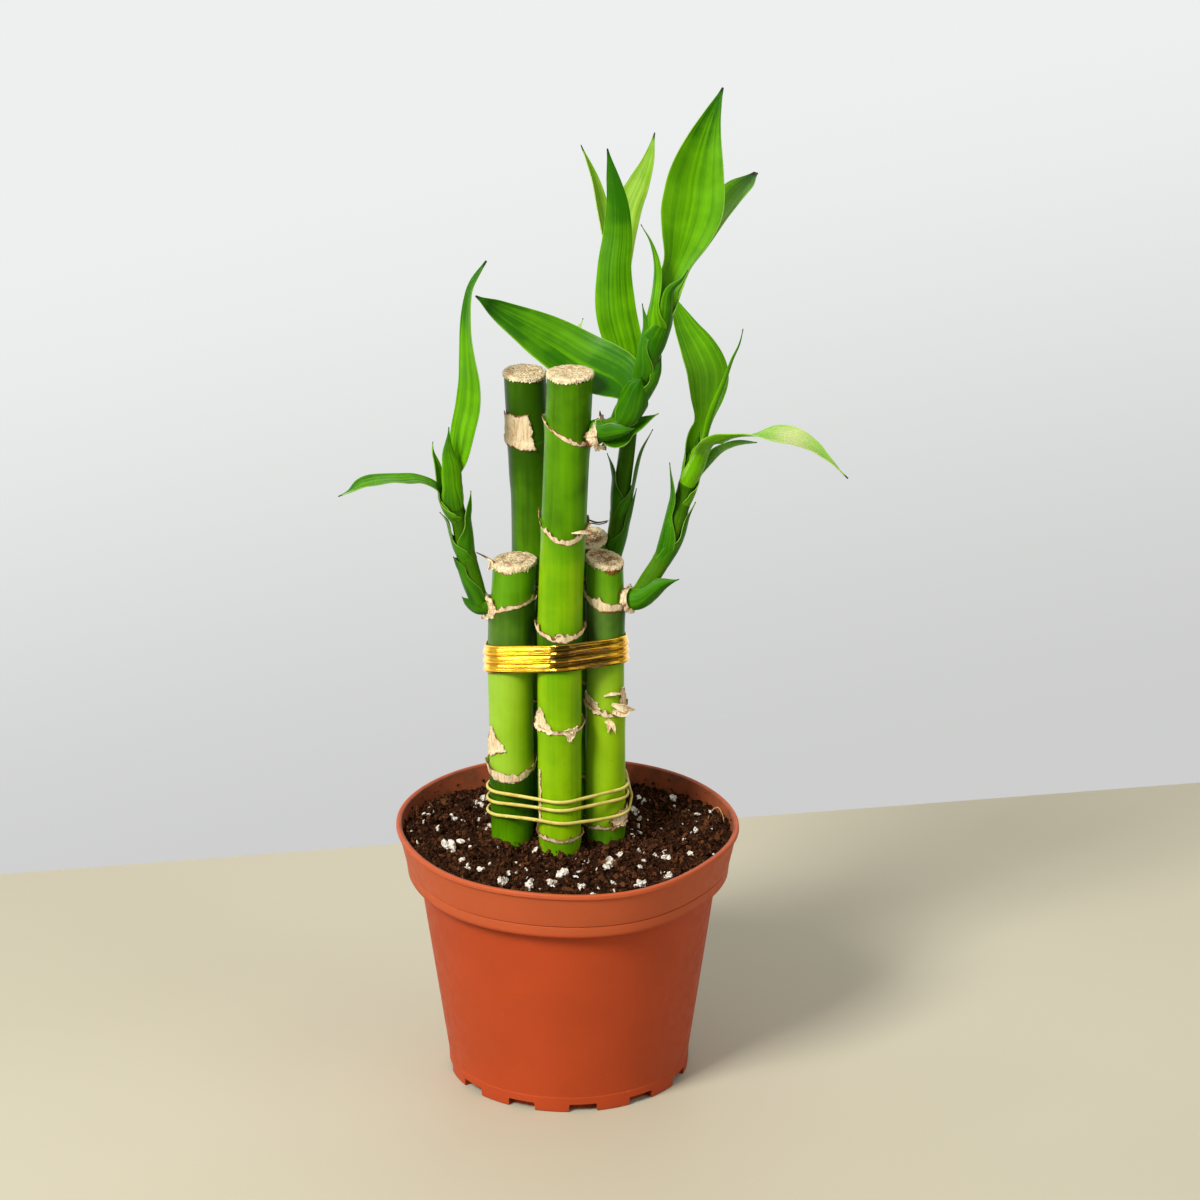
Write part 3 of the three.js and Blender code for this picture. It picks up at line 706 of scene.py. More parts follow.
@dataclass(frozen=True)
class Crumble:
    """Crumbly peat, from nearly black to reddish brown."""

    name: str = "crumbly_peat"
    dark: str = "120a06"
    middle: str = "4c2e1e"
    light: str = "946244"
    red: str = "80502e"

    def make(self) -> Material:
        """Mixes the material.

        Returns:
            The material.
        """
        r = Recipe(self.name)
        spot = r.place()
        coarse = r.noise(spot, 420, 5, 0.7)
        fine = r.noise(spot, 1500, 5, 0.75)
        r.colour = r.mix(r.step(coarse, 0.35, 0.65), self.dark, self.middle)
        r.paint(r.step(fine, 0.5, 0.72), self.light)
        variety = r.number("variety")
        r.paint(r.step(variety, 0.4, 0, 0, 0.6), self.dark)
        r.paint(r.step(variety, 0.6, 1, 0, 0.6), self.red)
        normal = r.bump(fine, 1, 0.7, r.bump(coarse, 1, 1.2))
        return r.done(Roughness=0.95, Normal=normal, Specular_IOR_Level=0.0)


@dataclass(frozen=True)
class PuffedStone:
    """White perlite with fine pits and soil stains."""

    name: str = "puffed_stone"
    white: str = "ebe5d6"
    shade: str = "c0b49c"
    stain: str = "7a5638"

    def make(self) -> Material:
        """Mixes the material.

        Returns:
            The material.
        """
        r = Recipe(self.name)
        spot = r.place()
        pits = r.cells(spot, 1500)
        cloud = r.noise(spot, 700, 5, 0.65)
        r.colour = r.mix(r.step(pits, 0.15, 0.5), self.shade, self.white)
        r.paint(r.step(cloud, 0.48, 0.66, 0, 0.85), self.stain)
        normal = r.bump(pits, 0.9, 0.4)
        return r.done(Roughness=0.85, Normal=normal)


@dataclass(frozen=True)
class PlainFibre:
    """Dry fibre with light and dark stretches."""

    name: str
    light: str
    dark: str
    scale: float = 350

    def make(self) -> Material:
        """Mixes the material.

        Returns:
            The material.
        """
        r = Recipe(self.name)
        cloud = r.noise(r.place(), self.scale, 4, 0.65)
        fleck = r.noise(r.place(), self.scale * 5, 2)
        share = r.maths("ADD", r.step(cloud, 0.3, 0.7, 0, 0.8), r.step(fleck, 0.5, 0.7, 0, 0.3), True)
        r.colour = r.mix(share, self.dark, self.light)
        return r.done(Roughness=0.8, Normal=r.bump(fleck, 0.5, 0.15), Specular_IOR_Level=0.1)


@dataclass(frozen=True)
class CaneSkin:
    """Waxy green skin with lengthwise streaks, darker and lighter from joint to joint.

    Its whitish wax coat lies on the left, lit side only: real wax, and painted sheen.
    """

    name: str = "waxy_cane"
    deep: str = "2c5200"
    middle: str = "589000"
    bright: str = "90b802"
    bloom_and_sheen: str = "b4cf78"
    scuff: str = "566c10"
    scar: str = "8a6a30"
    pit: str = "2c3a10"
    dirt: str = "33200f"
    soiled: float = 0.083

    def make(self) -> Material:
        """Mixes the material.

        Returns:
            The material.
        """
        r = Recipe(self.name)
        spot = r.place()
        streak = r.noise(r.place((900, 900, 14)), 1, 4, 0.6)
        broad = r.noise(r.place((160, 160, 9)), 1, 3, 0.55)
        cloud = r.noise(spot, 90, 3)
        tone = r.plus(
            r.number("tone"),
            r.step(broad, 0.25, 0.75, -0.1, 0.1),
            r.step(streak, 0.3, 0.7, -0.04, 0.04),
            r.step(cloud, 0.3, 0.7, -0.08, 0.08),
        )
        r.colour = r.mix(r.step(tone, 0.0, 0.55), self.deep, self.middle)
        r.paint(r.step(tone, 0.45, 1.0), self.bright)
        # The whitish coat: real wax, laid on the left, lit side only, so partly painted sheen.
        bloom_sheen_share = r.times(r.number("bloom_and_sheen"), r.step(cloud, 0.2, 0.7, 0.45, 1))
        r.paint(r.times(bloom_sheen_share, 0.4), self.bloom_and_sheen)
        specks = r.step(r.noise(spot, 700, 3, 0.6), 0.69, 0.76)
        r.paint(r.times(specks, 0.35), self.scuff)
        dots = r.step(r.cells(spot, 420), 0.06, 0.02, 0, 0.35)
        r.paint(dots, self.pit)
        scars = r.times(r.number("scar"), r.step(streak, 0.3, 0.6, 0.5, 1))
        r.paint(scars, self.scar)
        low = r.step(r.split(spot)[2], self.soiled, self.soiled * 0.93)
        grime = r.times(low, r.step(r.noise(spot, 520, 4, 0.65), 0.54, 0.66, 0, 0.4))
        r.paint(grime, self.dirt)
        rough = r.step(bloom_sheen_share, 0, 1, 0.34, 0.55)
        normal = r.bump(streak, 0.22, 0.12, r.bump(broad, 0.3, 0.35))
        return r.done(
            Roughness=rough, Normal=normal, Specular_IOR_Level=0.08,
            Subsurface_Weight=0.08, Subsurface_Radius=(0.6, 1.0, 0.2), Subsurface_Scale=0.001,
        )


@dataclass(frozen=True)
class DryPaper:
    """Dried sheath: cream paper with brown veins and browned edges."""

    name: str = "dry_paper"
    cream: str = "ead6ac"
    tan: str = "c4925a"
    brown: str = "70401a"

    def make(self) -> Material:
        """Mixes the material.

        Returns:
            The material.
        """
        r = Recipe(self.name)
        spot = r.place()
        veins = r.noise(r.place((1500, 1500, 160)), 1, 3, 0.6)
        blotch = r.noise(spot, 420, 4, 0.65)
        r.colour = r.mix(r.step(veins, 0.45, 0.7, 0, 0.75), self.cream, self.tan)
        r.paint(r.step(blotch, 0.5, 0.75, 0, 0.7), self.tan)
        edge = r.maths("ADD", r.number("edge"), r.step(blotch, 0.3, 0.7, -0.25, 0.25))
        r.paint(r.step(edge, 0.62, 1.0), self.brown)
        pores = r.step(r.noise(spot, 1500, 3, 0.6), 0.62, 0.7)
        r.paint(r.times(pores, 0.6), self.brown)
        return r.done(Roughness=0.75, Normal=r.bump(veins, 0.8, 0.3), Specular_IOR_Level=0.2)


@dataclass(frozen=True)
class CutPith:
    """The dry sawn end of a cane: cream fibres with brown pores."""

    name: str = "cut_pith"
    cream: str = "eedcb2"
    tan: str = "b8854a"
    pore: str = "46270e"
    stain: str = "96622c"
    burnt: str = "80501e"

    def make(self) -> Material:
        """Mixes the material.

        Returns:
            The material.
        """
        r = Recipe(self.name)
        spot = r.place()
        cloud = r.noise(spot, 520, 5, 0.7)
        out = r.maths("ADD", r.times(r.number("out"), 9.0), r.times(cloud, 1.6))
        rings = r.noise(r.node("ShaderNodeCombineXYZ", {0: out}), 1, 2, 0.7)
        holes = r.cells(spot, 1400)
        big = r.noise(spot, 260, 3, 0.6)
        r.colour = r.mix(r.step(cloud, 0.42, 0.72, 0, 0.75), self.cream, self.tan)
        r.paint(r.step(rings, 0.5, 0.66, 0, 0.55), self.tan)
        worn = r.times(r.step(big, 0.4, 0.62), r.number("core"))
        r.paint(r.times(worn, 0.75), self.stain)
        pores = r.times(r.step(holes, 0.42, 0.2), r.maths("ADD", r.number("core"), 0.12, True))
        r.paint(pores, self.pore)
        edge = r.maths("ADD", r.number("edge"), r.step(cloud, 0.3, 0.7, -0.3, 0.3))
        r.paint(r.step(edge, 0.7, 1.05), self.burnt)
        normal = r.bump(holes, 1, 0.4, r.bump(cloud, 1, 0.6))
        return r.done(Roughness=0.9, Normal=normal, Specular_IOR_Level=0.08)


@dataclass(frozen=True)
class LeafSkin:
    """Leaf green with lengthwise stripes, a pale margin and a dark tip.

    Each leaf's light number paints it lighter and darker along its length as painted light and
    shade, and turns it pale where the painted light lifts it past its bright green.
    """

    name: str
    deep: str
    bright: str
    vein: str
    margin: str = "8fbc3a"
    tip: str = "1e2c08"
    pale: str = "b0b878"
    gloss: float = 0.4
    glow: float = 0.25

    def make(self) -> Material:
        """Mixes the material.

        Returns:
            The material.
        """
        r = Recipe(self.name)
        across, lengthwise, _ = r.split(r.node("ShaderNodeTexCoord", {}, "UV"))
        seed = r.times(r.number("variety"), 37.0)
        stripes = self._stripes(r, across, lengthwise, seed, 9.0, 0.7)
        narrow = self._stripes(r, across, lengthwise, seed, 34.0, 0.9)
        fine = self._stripes(r, across, lengthwise, seed, 110.0, 1.6)
        cloud = r.noise(r.place(), 120, 3)
        share = r.plus(
            r.step(stripes, 0.3, 0.7, 0.2, 0.75),
            r.step(narrow, 0.35, 0.65, -0.07, 0.07),
            r.step(cloud, 0.3, 0.7, -0.15, 0.15),
            r.step(lengthwise, 0.55, 1, 0, -0.3),
            # Painted light and shade, set leaf by leaf.
            r.number("light"),
        )
        r.colour = r.mix(r.maths("ADD", share, 0.0, True), self.deep, self.bright)
        # Painted highlight: pale where painted light lifts the leaf past its bright green.
        r.paint(r.step(share, 1, 2), self.pale)
        r.paint(r.step(fine, 0.5, 0.75, 0, 0.12), self.vein)
        off_middle = r.maths("ABSOLUTE", r.maths("SUBTRACT", across, 0.5))
        rim = r.step(off_middle, 0.48, 0.499, 0, 0.6)
        r.paint(rim, self.margin)
        end = r.maths("ADD", lengthwise, r.step(narrow, 0.3, 0.7, -0.006, 0.006))
        r.paint(r.step(end, 0.965, 0.99), self.tip)
        normal = r.bump(fine, 0.25, 0.08, r.bump(narrow, 0.35, 0.2))
        rough = r.step(cloud, 0.3, 0.7, self.gloss - 0.05, self.gloss + 0.08)
        return r.done(
            Roughness=rough, Normal=normal, Specular_IOR_Level=0.1,
            Subsurface_Weight=self.glow, Subsurface_Radius=(0.5, 1.0, 0.15), Subsurface_Scale=0.0012,
        )

    def _stripes(
        self, r: Recipe, across: Socket, lengthwise: Socket, seed: Socket, count: float, run: float
    ) -> Socket:
        """Noise drawn out along the leaf.

        Args:
            r: The material in the making.
            across: Where the surface is across the leaf.
            lengthwise: Where it is along the leaf.
            seed: A number that differs from leaf to leaf.
            count: How many stripes there are across it.
            run: How much they change over its length.

        Returns:
            The noise, about 0 to 1.
        """
        spot = {0: r.times(across, count), 1: r.times(lengthwise, run), 2: seed}
        return r.noise(r.node("ShaderNodeCombineXYZ", spot), 1, 2)


@dataclass(frozen=True)
class GoldFoil:
    """Shiny gold foil with creases that run along it, and painted dark reflections across its front."""

    name: str = "creased_foil"
    gold: str = "fccc20"
    amber: str = "e4a012"
    dark_reflection: str = "5c3c0a"

    def make(self) -> Material:
        """Mixes the material.

        Returns:
            The material.
        """
        r = Recipe(self.name)
        crease = r.noise(r.place((7, 16, 1), kind="UV"), 1, 3, 0.6)
        patch = r.noise(r.place((5, 24, 1), kind="UV"), 1, 3)
        r.colour = r.mix(r.step(patch, 0.3, 0.7), self.gold, self.amber)
        rough = r.step(crease, 0.3, 0.7, 0.07, 0.16)
        # Painted reflection: dark streaks across the front of the tie, between the left and right canes,
        # stand for the dark room that the foil mirrors.
        x, _, _ = r.split(r.place())
        middle = r.times(r.step(x, -0.013, -0.004), r.step(x, 0.0145, 0.012))
        streak = r.noise(r.place((8, 30, 1), kind="UV"), 1, 3, 0.6)
        dark_reflection = r.times(middle, r.step(streak, 0.42, 0.54, 0.12, 0.9))
        r.paint(dark_reflection, self.dark_reflection)
        scratch = r.noise(r.place(), 700, 2)
        normal = r.bump(crease, 0.35, 0.15, r.bump(scratch, 0.05, 0.1))
        return r.done(
            Roughness=rough, Metallic=1.0, Normal=normal, Coat_Weight=0.6, Coat_Roughness=0.08,
        )


@dataclass(frozen=True)
class BandRubber:
    """Pale yellow rubber with faint scuffs."""

    name: str = "soft_rubber"
    base: str = "cfc05e"
    worn: str = "b99a3a"

    def make(self) -> Material:
        """Mixes the material.

        Returns:
            The material.
        """
        r = Recipe(self.name)
        cloud = r.noise(r.place(), 260, 4, 0.6)
        fine = r.noise(r.place(), 1800, 2)
        r.colour = r.mix(r.step(cloud, 0.42, 0.75), self.base, self.worn)
        return r.done(
            Roughness=0.55, Normal=r.bump(fine, 0.4, 0.1),
            Subsurface_Weight=0.2, Subsurface_Radius=(1.0, 0.7, 0.2), Subsurface_Scale=0.001,
        )


class Finish(Enum):
    """Every finish on the plant, with the record's slot that it belongs to."""

    POT = ("pot_plastic", PotPlastic())
    PEAT = ("potting_mix", Crumble())
    PERLITE = ("potting_mix", PuffedStone())
    COIR = ("potting_mix", PlainFibre("coir", "c8804a", "86421e"))
    STRAW = ("potting_mix", PlainFibre("straw", "c9a06a", "7c5430"))
    CANE = ("stalk_skin", CaneSkin())
    PAPER = ("stalk_skin", DryPaper())
    PITH = ("stalk_skin", CutPith())
    TWIG = ("stalk_skin", PlainFibre("dry_twig", "7a5636", "2a180e"))
    STEM = ("shoot_skin", LeafSkin("stem_skin", "2a5400", "4c7c00", "5a8c08", "4c7c00", "4c7c00", glow=0.1))
    LEAF = ("leaf", LeafSkin("leaf_green", "266000", "68a800", "7cb408"))
    PALE = ("young_leaf", LeafSkin("young_leaf_green", "689808", "a4c04a", "b4cc60", "bcd07c", glow=0.45))
    HUSK = ("husk", LeafSkin("husk_green", "1f5600", "458400", "54920a", "98b850", gloss=0.36, glow=0.12))
    GOLD = ("gold_foil", GoldFoil())
    RUBBER = ("band_rubber", BandRubber())

    @property
    def slot(self) -> str:
        """The record's slot."""
        return self.value[0]

    @property
    def material(self) -> Material:
        """The finish's one material, made when it is first used."""
        recipe = self.value[1]
        return bpy.data.materials.get(recipe.name) or recipe.make()


def keep(piece: Piece, finish: Finish, *nodes: str, angle: float = 50) -> None:
    """Finishes a piece and sets it in the frame.

    Args:
        piece: The modelled piece.
        finish: Its finish.
        nodes: The construction nodes that it stands for.
        angle: Edges sharper than this, in degrees, stay sharp.
    """
    shade(piece, angle)
    piece.data.materials.clear()
    piece.data.materials.append(finish.material)
    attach(piece, "root")
    if nodes:
        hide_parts(*nodes)
    log.info("%s: %d faces, %s", piece.name, len(piece.data.polygons), finish.name.lower())


# --- Pot and soil ---


def rounded(corners: Sequence[Point], longest: float, steps: int = 5) -> Rows:
    """An outline with its corners rounded.

    Args:
        corners: Each corner's two coordinates and its radius.
        longest: Longer straights are divided.
        steps: How many faces a rounded corner has.

    Returns:
        The outline's points, a row for each.
    """
    points = [np.array(corners[0][:2], float)]
    for before, corner, after in zip(corners, corners[1:], corners[2:]):
        here = np.array(corner[:2], float)
        back, ahead = unit(np.array(before[:2]) - here), unit(np.array(after[:2]) - here)
        half = math.acos(float(np.clip(back @ ahead, -1, 1))) / 2
        reach = corner[2] / math.tan(half)
        centre = here + unit(back + ahead) * corner[2] / math.sin(half)
        for share in np.linspace(0, 1, steps + 1):
            spoke = between(here + back * reach, here + ahead * reach, share) - centre
            points.append(centre + unit(spoke) * corner[2])
    points.append(np.array(corners[-1][:2], float))
    outline = [points[0]]
    for point in points[1:]:
        parts = max(1, math.ceil(np.linalg.norm(point - outline[-1]) / longest))
        start = outline[-1]
        outline.extend(between(start, point, share) for share in np.linspace(0, 1, parts + 1)[1:])
    return np.array(outline)


@dataclass(frozen=True)
class NurseryPot:
    """A thin-walled round pot with a collar, a rolled lip and a notched foot.

    waves are what makes it out of round at the lip: their count in a turn, their size and the
    direction of their peak, in degrees from +X.
    """

    height: float = 81
    wall: float = 1.0
    floor: float = 1.2
    foot_radius: float = 37.5
    foot_height: float = 5
    body_radius: float = 36.9
    taper: float = 0.148
    collar_foot: float = 65
    collar_radius: float = 50
    groove_rise: float = 4
    collar_top: float = 52.8
    lip_radius: float = 53.5
    lip_height: float = 1.6
    waves: tuple[Point, ...] = (
        (1, 1.5, 115), (2, 0.7, -58), (3, 0.65, 24), (4, 0.25, 25), (5, 0.2, 2), (6, 0.3, -7),
    )
    growth: float = 1.5
    round_core: float = 30
    notch_count: int = 12
    first_notch: float = 7
    notch_foot: float = 9.5
    notch_head: float = 8.5
    notch_height: float = 2.7
    notch_inner: float = 34.5
    columns: int = 192
    longest_face: float = 4

    def out_of_round(self, angle: Rows, z: Rows) -> Rows:
        """How far the wall stands out of round at an angle and a height."""
        waves = (size * np.cos(count * (angle - math.radians(peak))) for count, size, peak in self.waves)
        return np.clip(np.asarray(z) / self.height, 0, 1) ** self.growth * sum(waves)

    def body_at(self, z: Rows) -> Rows:
        """The body's outer radius at a height."""
        return self.body_radius + self.taper * z

    def inner_at(self, z: Rows) -> Rows:
        """The collar's inner radius at a height."""
        low, high = self.collar_foot + self.wall, self.height - self.lip_height
        return np.interp(z, (low, high), (self.collar_radius - self.wall, self.collar_top - self.wall))

    def outline(self) -> Rows:
        """Draws the wall's section.

        Returns:
            Its points, from the axis under the floor round to the axis over it.
        """
        lip_foot = self.height - self.lip_height
        groove = self.collar_foot + self.groove_rise
        ledge = self.collar_foot + self.wall
        corners = (
            (0, 0, 0),
            (self.foot_radius, 0, 0.5),
            (self.foot_radius + 0.25, self.foot_height - 0.1, 0.2),
            (self.body_at(self.foot_height), self.foot_height + 0.15, 0.1),
            (self.body_at(self.collar_foot), self.collar_foot, 0.7),
            (self.collar_radius, self.collar_foot, 0.8),
            (self.collar_radius + 0.4, groove - 0.3, 0.06),
            (self.collar_radius - 0.1, groove, 0.04),
            (self.collar_radius + 0.5, groove + 0.2, 0.06),
            (self.collar_top, lip_foot - 0.2, 0.3),
            (self.lip_radius, lip_foot, 0.3),
            (self.lip_radius - 0.1, self.height, 0.6),
            (self.collar_top - self.wall, self.height - 0.3, 0.4),
            (self.collar_radius - self.wall, ledge, 0.7),
            (self.body_at(self.collar_foot) - self.wall, ledge, 0.6),
            (self.body_at(self.floor) - self.wall, self.floor, 1),
            (0, self.floor, 0),
        )
        return rounded(corners, self.longest_face)

    def notch_cutter(self) -> Piece:
        """Makes a wedge for each notch in the foot.

        Returns:
            The wedges, all in one piece.
        """
        cutters = []
        depth = self.foot_radius + 2 - self.notch_inner
        for i in range(self.notch_count):
            deselect()
            bpy.ops.mesh.primitive_cube_add(size=1)
            cutter = named(f"notch_{i}")
            points = read_points(cutter)
            width = np.where(points[:, 2] > 0, self.notch_head, self.notch_foot)
            size = np.stack([np.full(8, depth), width, np.full(8, 2 * self.notch_height)], axis=-1)
            points = points * size + (self.notch_inner + depth / 2, 0, 0)
            turn = FRONT + math.radians(self.first_notch) + TURN * i / self.notch_count
            write_points(cutter, points @ np.array(Euler((0, 0, turn)).to_matrix()).T * MM)
            cutters.append(cutter)
        return joined("notches", cutters)

    def build(self) -> None:
        """Turns the wall, cuts the notches and marks the inside for its dust and its painted shade."""
        outline = self.outline()
        last = len(outline) - 1
        shell, round_it, along_it = flat_sheet("pot_shell", self.columns, last)
        radius, z = outline[nearest(along_it, last)].T
        angle = round_it * math.pi
        radius = radius + np.minimum(1, radius / self.round_core) * self.out_of_round(angle, z)
        radius = np.where(along_it * last % last < 0.5, 0, radius)
        write_points(shell, polar(radius, angle, z) * MM)
        close_tube(shell, capped=False)
        cutter = self.notch_cutter()
        modify(shell, "BOOLEAN", object=cutter, operation="DIFFERENCE", solver="EXACT")
        bpy.data.objects.remove(cutter)
        x, y, z = (read_points(shell) / MM).T
        radius = np.hypot(x, y) - self.out_of_round(np.arctan2(y, x), z)
        shoulder = self.collar_foot + self.wall / 2
        face = np.where(z > shoulder, self.inner_at(z), self.body_at(z) - self.wall)
        note(shell, "inside", (radius < face + self.wall / 3) & (z > self.wall))
        keep(shell, Finish.POT, "pot", angle=32)


@dataclass
class PottingMix:
    """Loose peat heaped to the collar, with crumbs, perlite and coir on it."""

    pot: NurseryPot
    canes: Sequence["Cane"]
    edge: float = 73.6
    side_heap: float = 3.8
    crown: float = 75.4
    base: float = 67
    narrowing: float = 0.93
    heap: float = 2.4
    heap_reach: float = 3.2
    slope: float = 20
    columns: int = 216
    clods: Pairs = ((9, 2.4), (3.2, 2.1), (1.3, 1.4), (0.6, 0.8))
    crumb_count: int = 5300
    largest_crumb: float = 1.7
    foot_crumb_count: int = 170
    perlite_count: int = 120
    coir_count: int = 1000
    coir_bends: tuple[float, ...] = (0.35, -0.25, 0.5, 0.15)
    bed_gap_shade: float = 0.14
    straw: tuple[Point, ...] = (
        (43, 14, 75.4), (45, 19, 77.5), (47, 19, 78.5), (48.5, 13, 77.6), (48, 7, 75.5), (46, 2, 74.6),
    )
    wall_crumb_count: int = 240
    big_perlite: tuple[Point, ...] = (
        (-41, 6, 2.2), (-33, -15, 2), (-18, -25, 2), (4, -35, 2.4), (14, -31, 2), (16, -11, 2.6),
        (-27, 33, 3.4), (-29, 26, 2.8), (-45, 15, 2.4), (-36, 15, 2.8), (-37, -8, 4.6), (-28, 15, 2),
        (-25, 6, 2.4), (-31, -21, 2), (-27, -23, 2.4), (-20, -31, 3.8), (-12, -34, 3), (-2, -26, 3.4),
        (-5, -32, 2.8), (5, -18, 2.8), (13, -18, 3.6), (22, -33, 3.8), (21, 22, 3.2), (23, 31, 2.8),
        (30, -14, 2.6), (27, -11, 2), (36, -1, 2), (33, 32, 2.8), (38, -13, 2.2), (31, -28, 2.8),
        (-9, -5, 2), (22, -8, 2), (20, 1, 1.8),
    )

    def build(self) -> None:
        """Heaps the peat and scatters everything that lies on it."""
        self._lay_bed()
        self._scatter_crumbs()
        self._scatter_perlite()
        self._scatter_coir()
        self._dust_wall()

    def edge_at(self, angle: Rows) -> Rows:
        """The bed's height at the wall, where it is heaped at the left and the right."""
        heaped = self.edge + self.side_heap * np.abs(np.cos(angle)) ** 2.5
        return heaped + 0.5 * uneven(angle, "bed edge", (3, 5, 9, 14))

    def _heaped(self, across: Rows, along_it: Rows) -> Rows:
        """Bends a square sheet into the round bed.

        Args:
            across: Where each vertex is across the sheet, from -1 to 1.
            along_it: Where it is along the sheet, from 0 to 1.

        Returns:
            The vertices' places.
        """
        x, y = across, along_it * 2 - 1
        x, y = x * np.sqrt(1 - y * y / 2), y * np.sqrt(1 - x * x / 2)
        share, angle = np.hypot(x, y), np.arctan2(y, x)
        edge = self.edge_at(angle)
        radius = share * (self.pot.inner_at(edge) + self.pot.out_of_round(angle, edge))
        z = between(self.crown, edge, smooth(share, 1 - self.slope / self.pot.collar_radius, 1))
        for cane in self.canes:
            x, y = radius * np.cos(angle) - cane.foot[0], radius * np.sin(angle) - cane.foot[1]
            gap = np.hypot(x, y) - cane.foot_radius
            z = z + self.heap * np.exp(-((gap / self.heap_reach) ** 2)) / 2
        return polar(radius, angle, z)

    def _lay_bed(self) -> None:
        """The heaped bed of peat, closed underneath."""
        bed, across, along_it = flat_sheet("soil_bed", self.columns, self.columns)
        write_points(bed, self._heaped(across, along_it) * MM)
        for i, (size, depth) in enumerate(self.clods):
            clouds = bpy.data.textures.new(f"clods_{i}", "CLOUDS")
            clouds.noise_scale = size * MM
            clouds.noise_depth = 2
            modify(bed, "DISPLACE", texture=clouds, direction="Z", strength=depth * MM, mid_level=0.5)
        self.tops = read_points(bed) / MM
        self.finder = KDTree(len(self.tops))
        for i, (x, y, _) in enumerate(self.tops):
            self.finder.insert((x, y, 0), i)
        self.finder.balance()
        in_edit_mode(bed, self._draw_down, face_out)
        # Painted shade: the bed under the crumbs is painted darker, as the shade in the gaps between them.
        note(bed, "variety", self.bed_gap_shade)
        keep(bed, Finish.PEAT, "soil", angle=80)

    def _draw_down(self) -> None:
        """Draws the sheet down into a closed body that narrows below, clear of the wall."""
        down = {"value": (0, 0, (self.base - self.edge) * MM)}
        bpy.ops.mesh.extrude_region_move(TRANSFORM_OT_translate=down)
        bpy.ops.transform.resize(value=(self.narrowing, self.narrowing, 1))

    def height_at(self, x: float, y: float) -> float:
        """The bed's height at a place."""
        return float(self.tops[self.finder.find((x, y, 0))[1]][2])

    def _free_spot(self, draw: Random, room: float) -> tuple[float, float]:
        """Draws a place on the bed that is clear of the wall and the canes.

        Args:
            draw: The source of the draws.
            room: How far it keeps clear.

        Returns:
            The place's x and y.
        """
        while True:
            angle = draw.uniform(0, TURN)
            reach = self.pot.inner_at(self.edge) + self.pot.out_of_round(angle, self.edge) - room
            radius = reach * math.sqrt(draw.random())
            x, y = radius * math.cos(angle), radius * math.sin(angle)
            gaps = (math.hypot(x - cane.foot[0], y - cane.foot[1]) - cane.foot_radius for cane in self.canes)
            if min(gaps) > room:
                return x, y

    def _scatter_crumbs(self) -> None:
        """Angular crumbs of peat of all sizes."""
        draw = Random("crumbs")
        templates = [pebble(f"crumb_{i}", f"crumb {i}", 1 + (i > 3), 0.42) for i in range(6)]
        places = []
        for _ in range(self.crumb_count):
            size = min(self.largest_crumb, 0.3 * math.exp(abs(draw.gauss(0, 0.62))))
            x, y = self._free_spot(draw, size * 0.7)
            which = draw.randrange(4) if size < 0.75 else draw.randrange(4, 6)
            z = self.height_at(x, y) + size * draw.uniform(-0.2, 0.5)
            flat = tuple(size * draw.uniform(low, high) for low, high in ((0.7, 1.7), (0.6, 1.1), (0.4, 0.9)))
            places.append((which, (x, y, z), self._turn(draw), flat))
        for cane in self.canes:
            places.extend(self._foot_crumb(cane, draw) for _ in range(self.foot_crumb_count))
        keep(scattered("peat_crumbs", templates, places), Finish.PEAT, angle=25)

    def _foot_crumb(self, cane: "Cane", draw: Random) -> Copy:
        """Draws a crumb that is heaped against a cane's foot.

        Args:
            cane: The cane.
            draw: The source of the draws.

        Returns:
            The crumb.
        """
        size = draw.uniform(0.3, 1.1)
        angle = draw.uniform(0, TURN)
        out = draw.random() ** 2 * self.heap_reach
        reach = cane.foot_radius + size * 0.4 + out
        x, y = cane.foot[0] + reach * math.cos(angle), cane.foot[1] + reach * math.sin(angle)
        z = self.height_at(x, y) + draw.uniform(-0.2, 1) * (1.4 - out / self.heap_reach)
        return draw.randrange(6), (x, y, z), self._turn(draw), (size, size * 0.8, size * 0.6)

    def _scatter_perlite(self) -> None:
        """Perlite: clusters where the large lumps lie, and small ones between them."""
        draw = Random("perlite")
        templates = [pebble(f"puff_{i}", f"puff {i}", 2, 0.5) for i in range(6)]
        places = []
        for x, y, width in self.big_perlite:
            for i in range(3 + round(width * 2)):
                size = width * draw.uniform(0.16, 0.34)
                turn, reach = draw.uniform(0, TURN), width * 0.36 * math.sqrt(draw.random())
                spot = (x + reach * math.cos(turn), y + reach * math.sin(turn))
                centre = (*spot, self.height_at(*spot) + size * draw.uniform(0.3, 1.2))
                places.append((i % 6, centre, self._turn(draw), (size, size * 0.85, size * 0.6)))
        for _ in range(self.perlite_count):
            size = draw.choice((0.25, 0.35, 0.45, 0.6, 0.8))
            x, y = self._free_spot(draw, 1.5)
            centre = (x, y, self.height_at(x, y) + size * 0.8)
            places.append((draw.randrange(6), centre, self._turn(draw), (size * 1.3, size, size * 0.5)))
        keep(scattered("perlite_lumps", templates, places), Finish.PERLITE, angle=22)

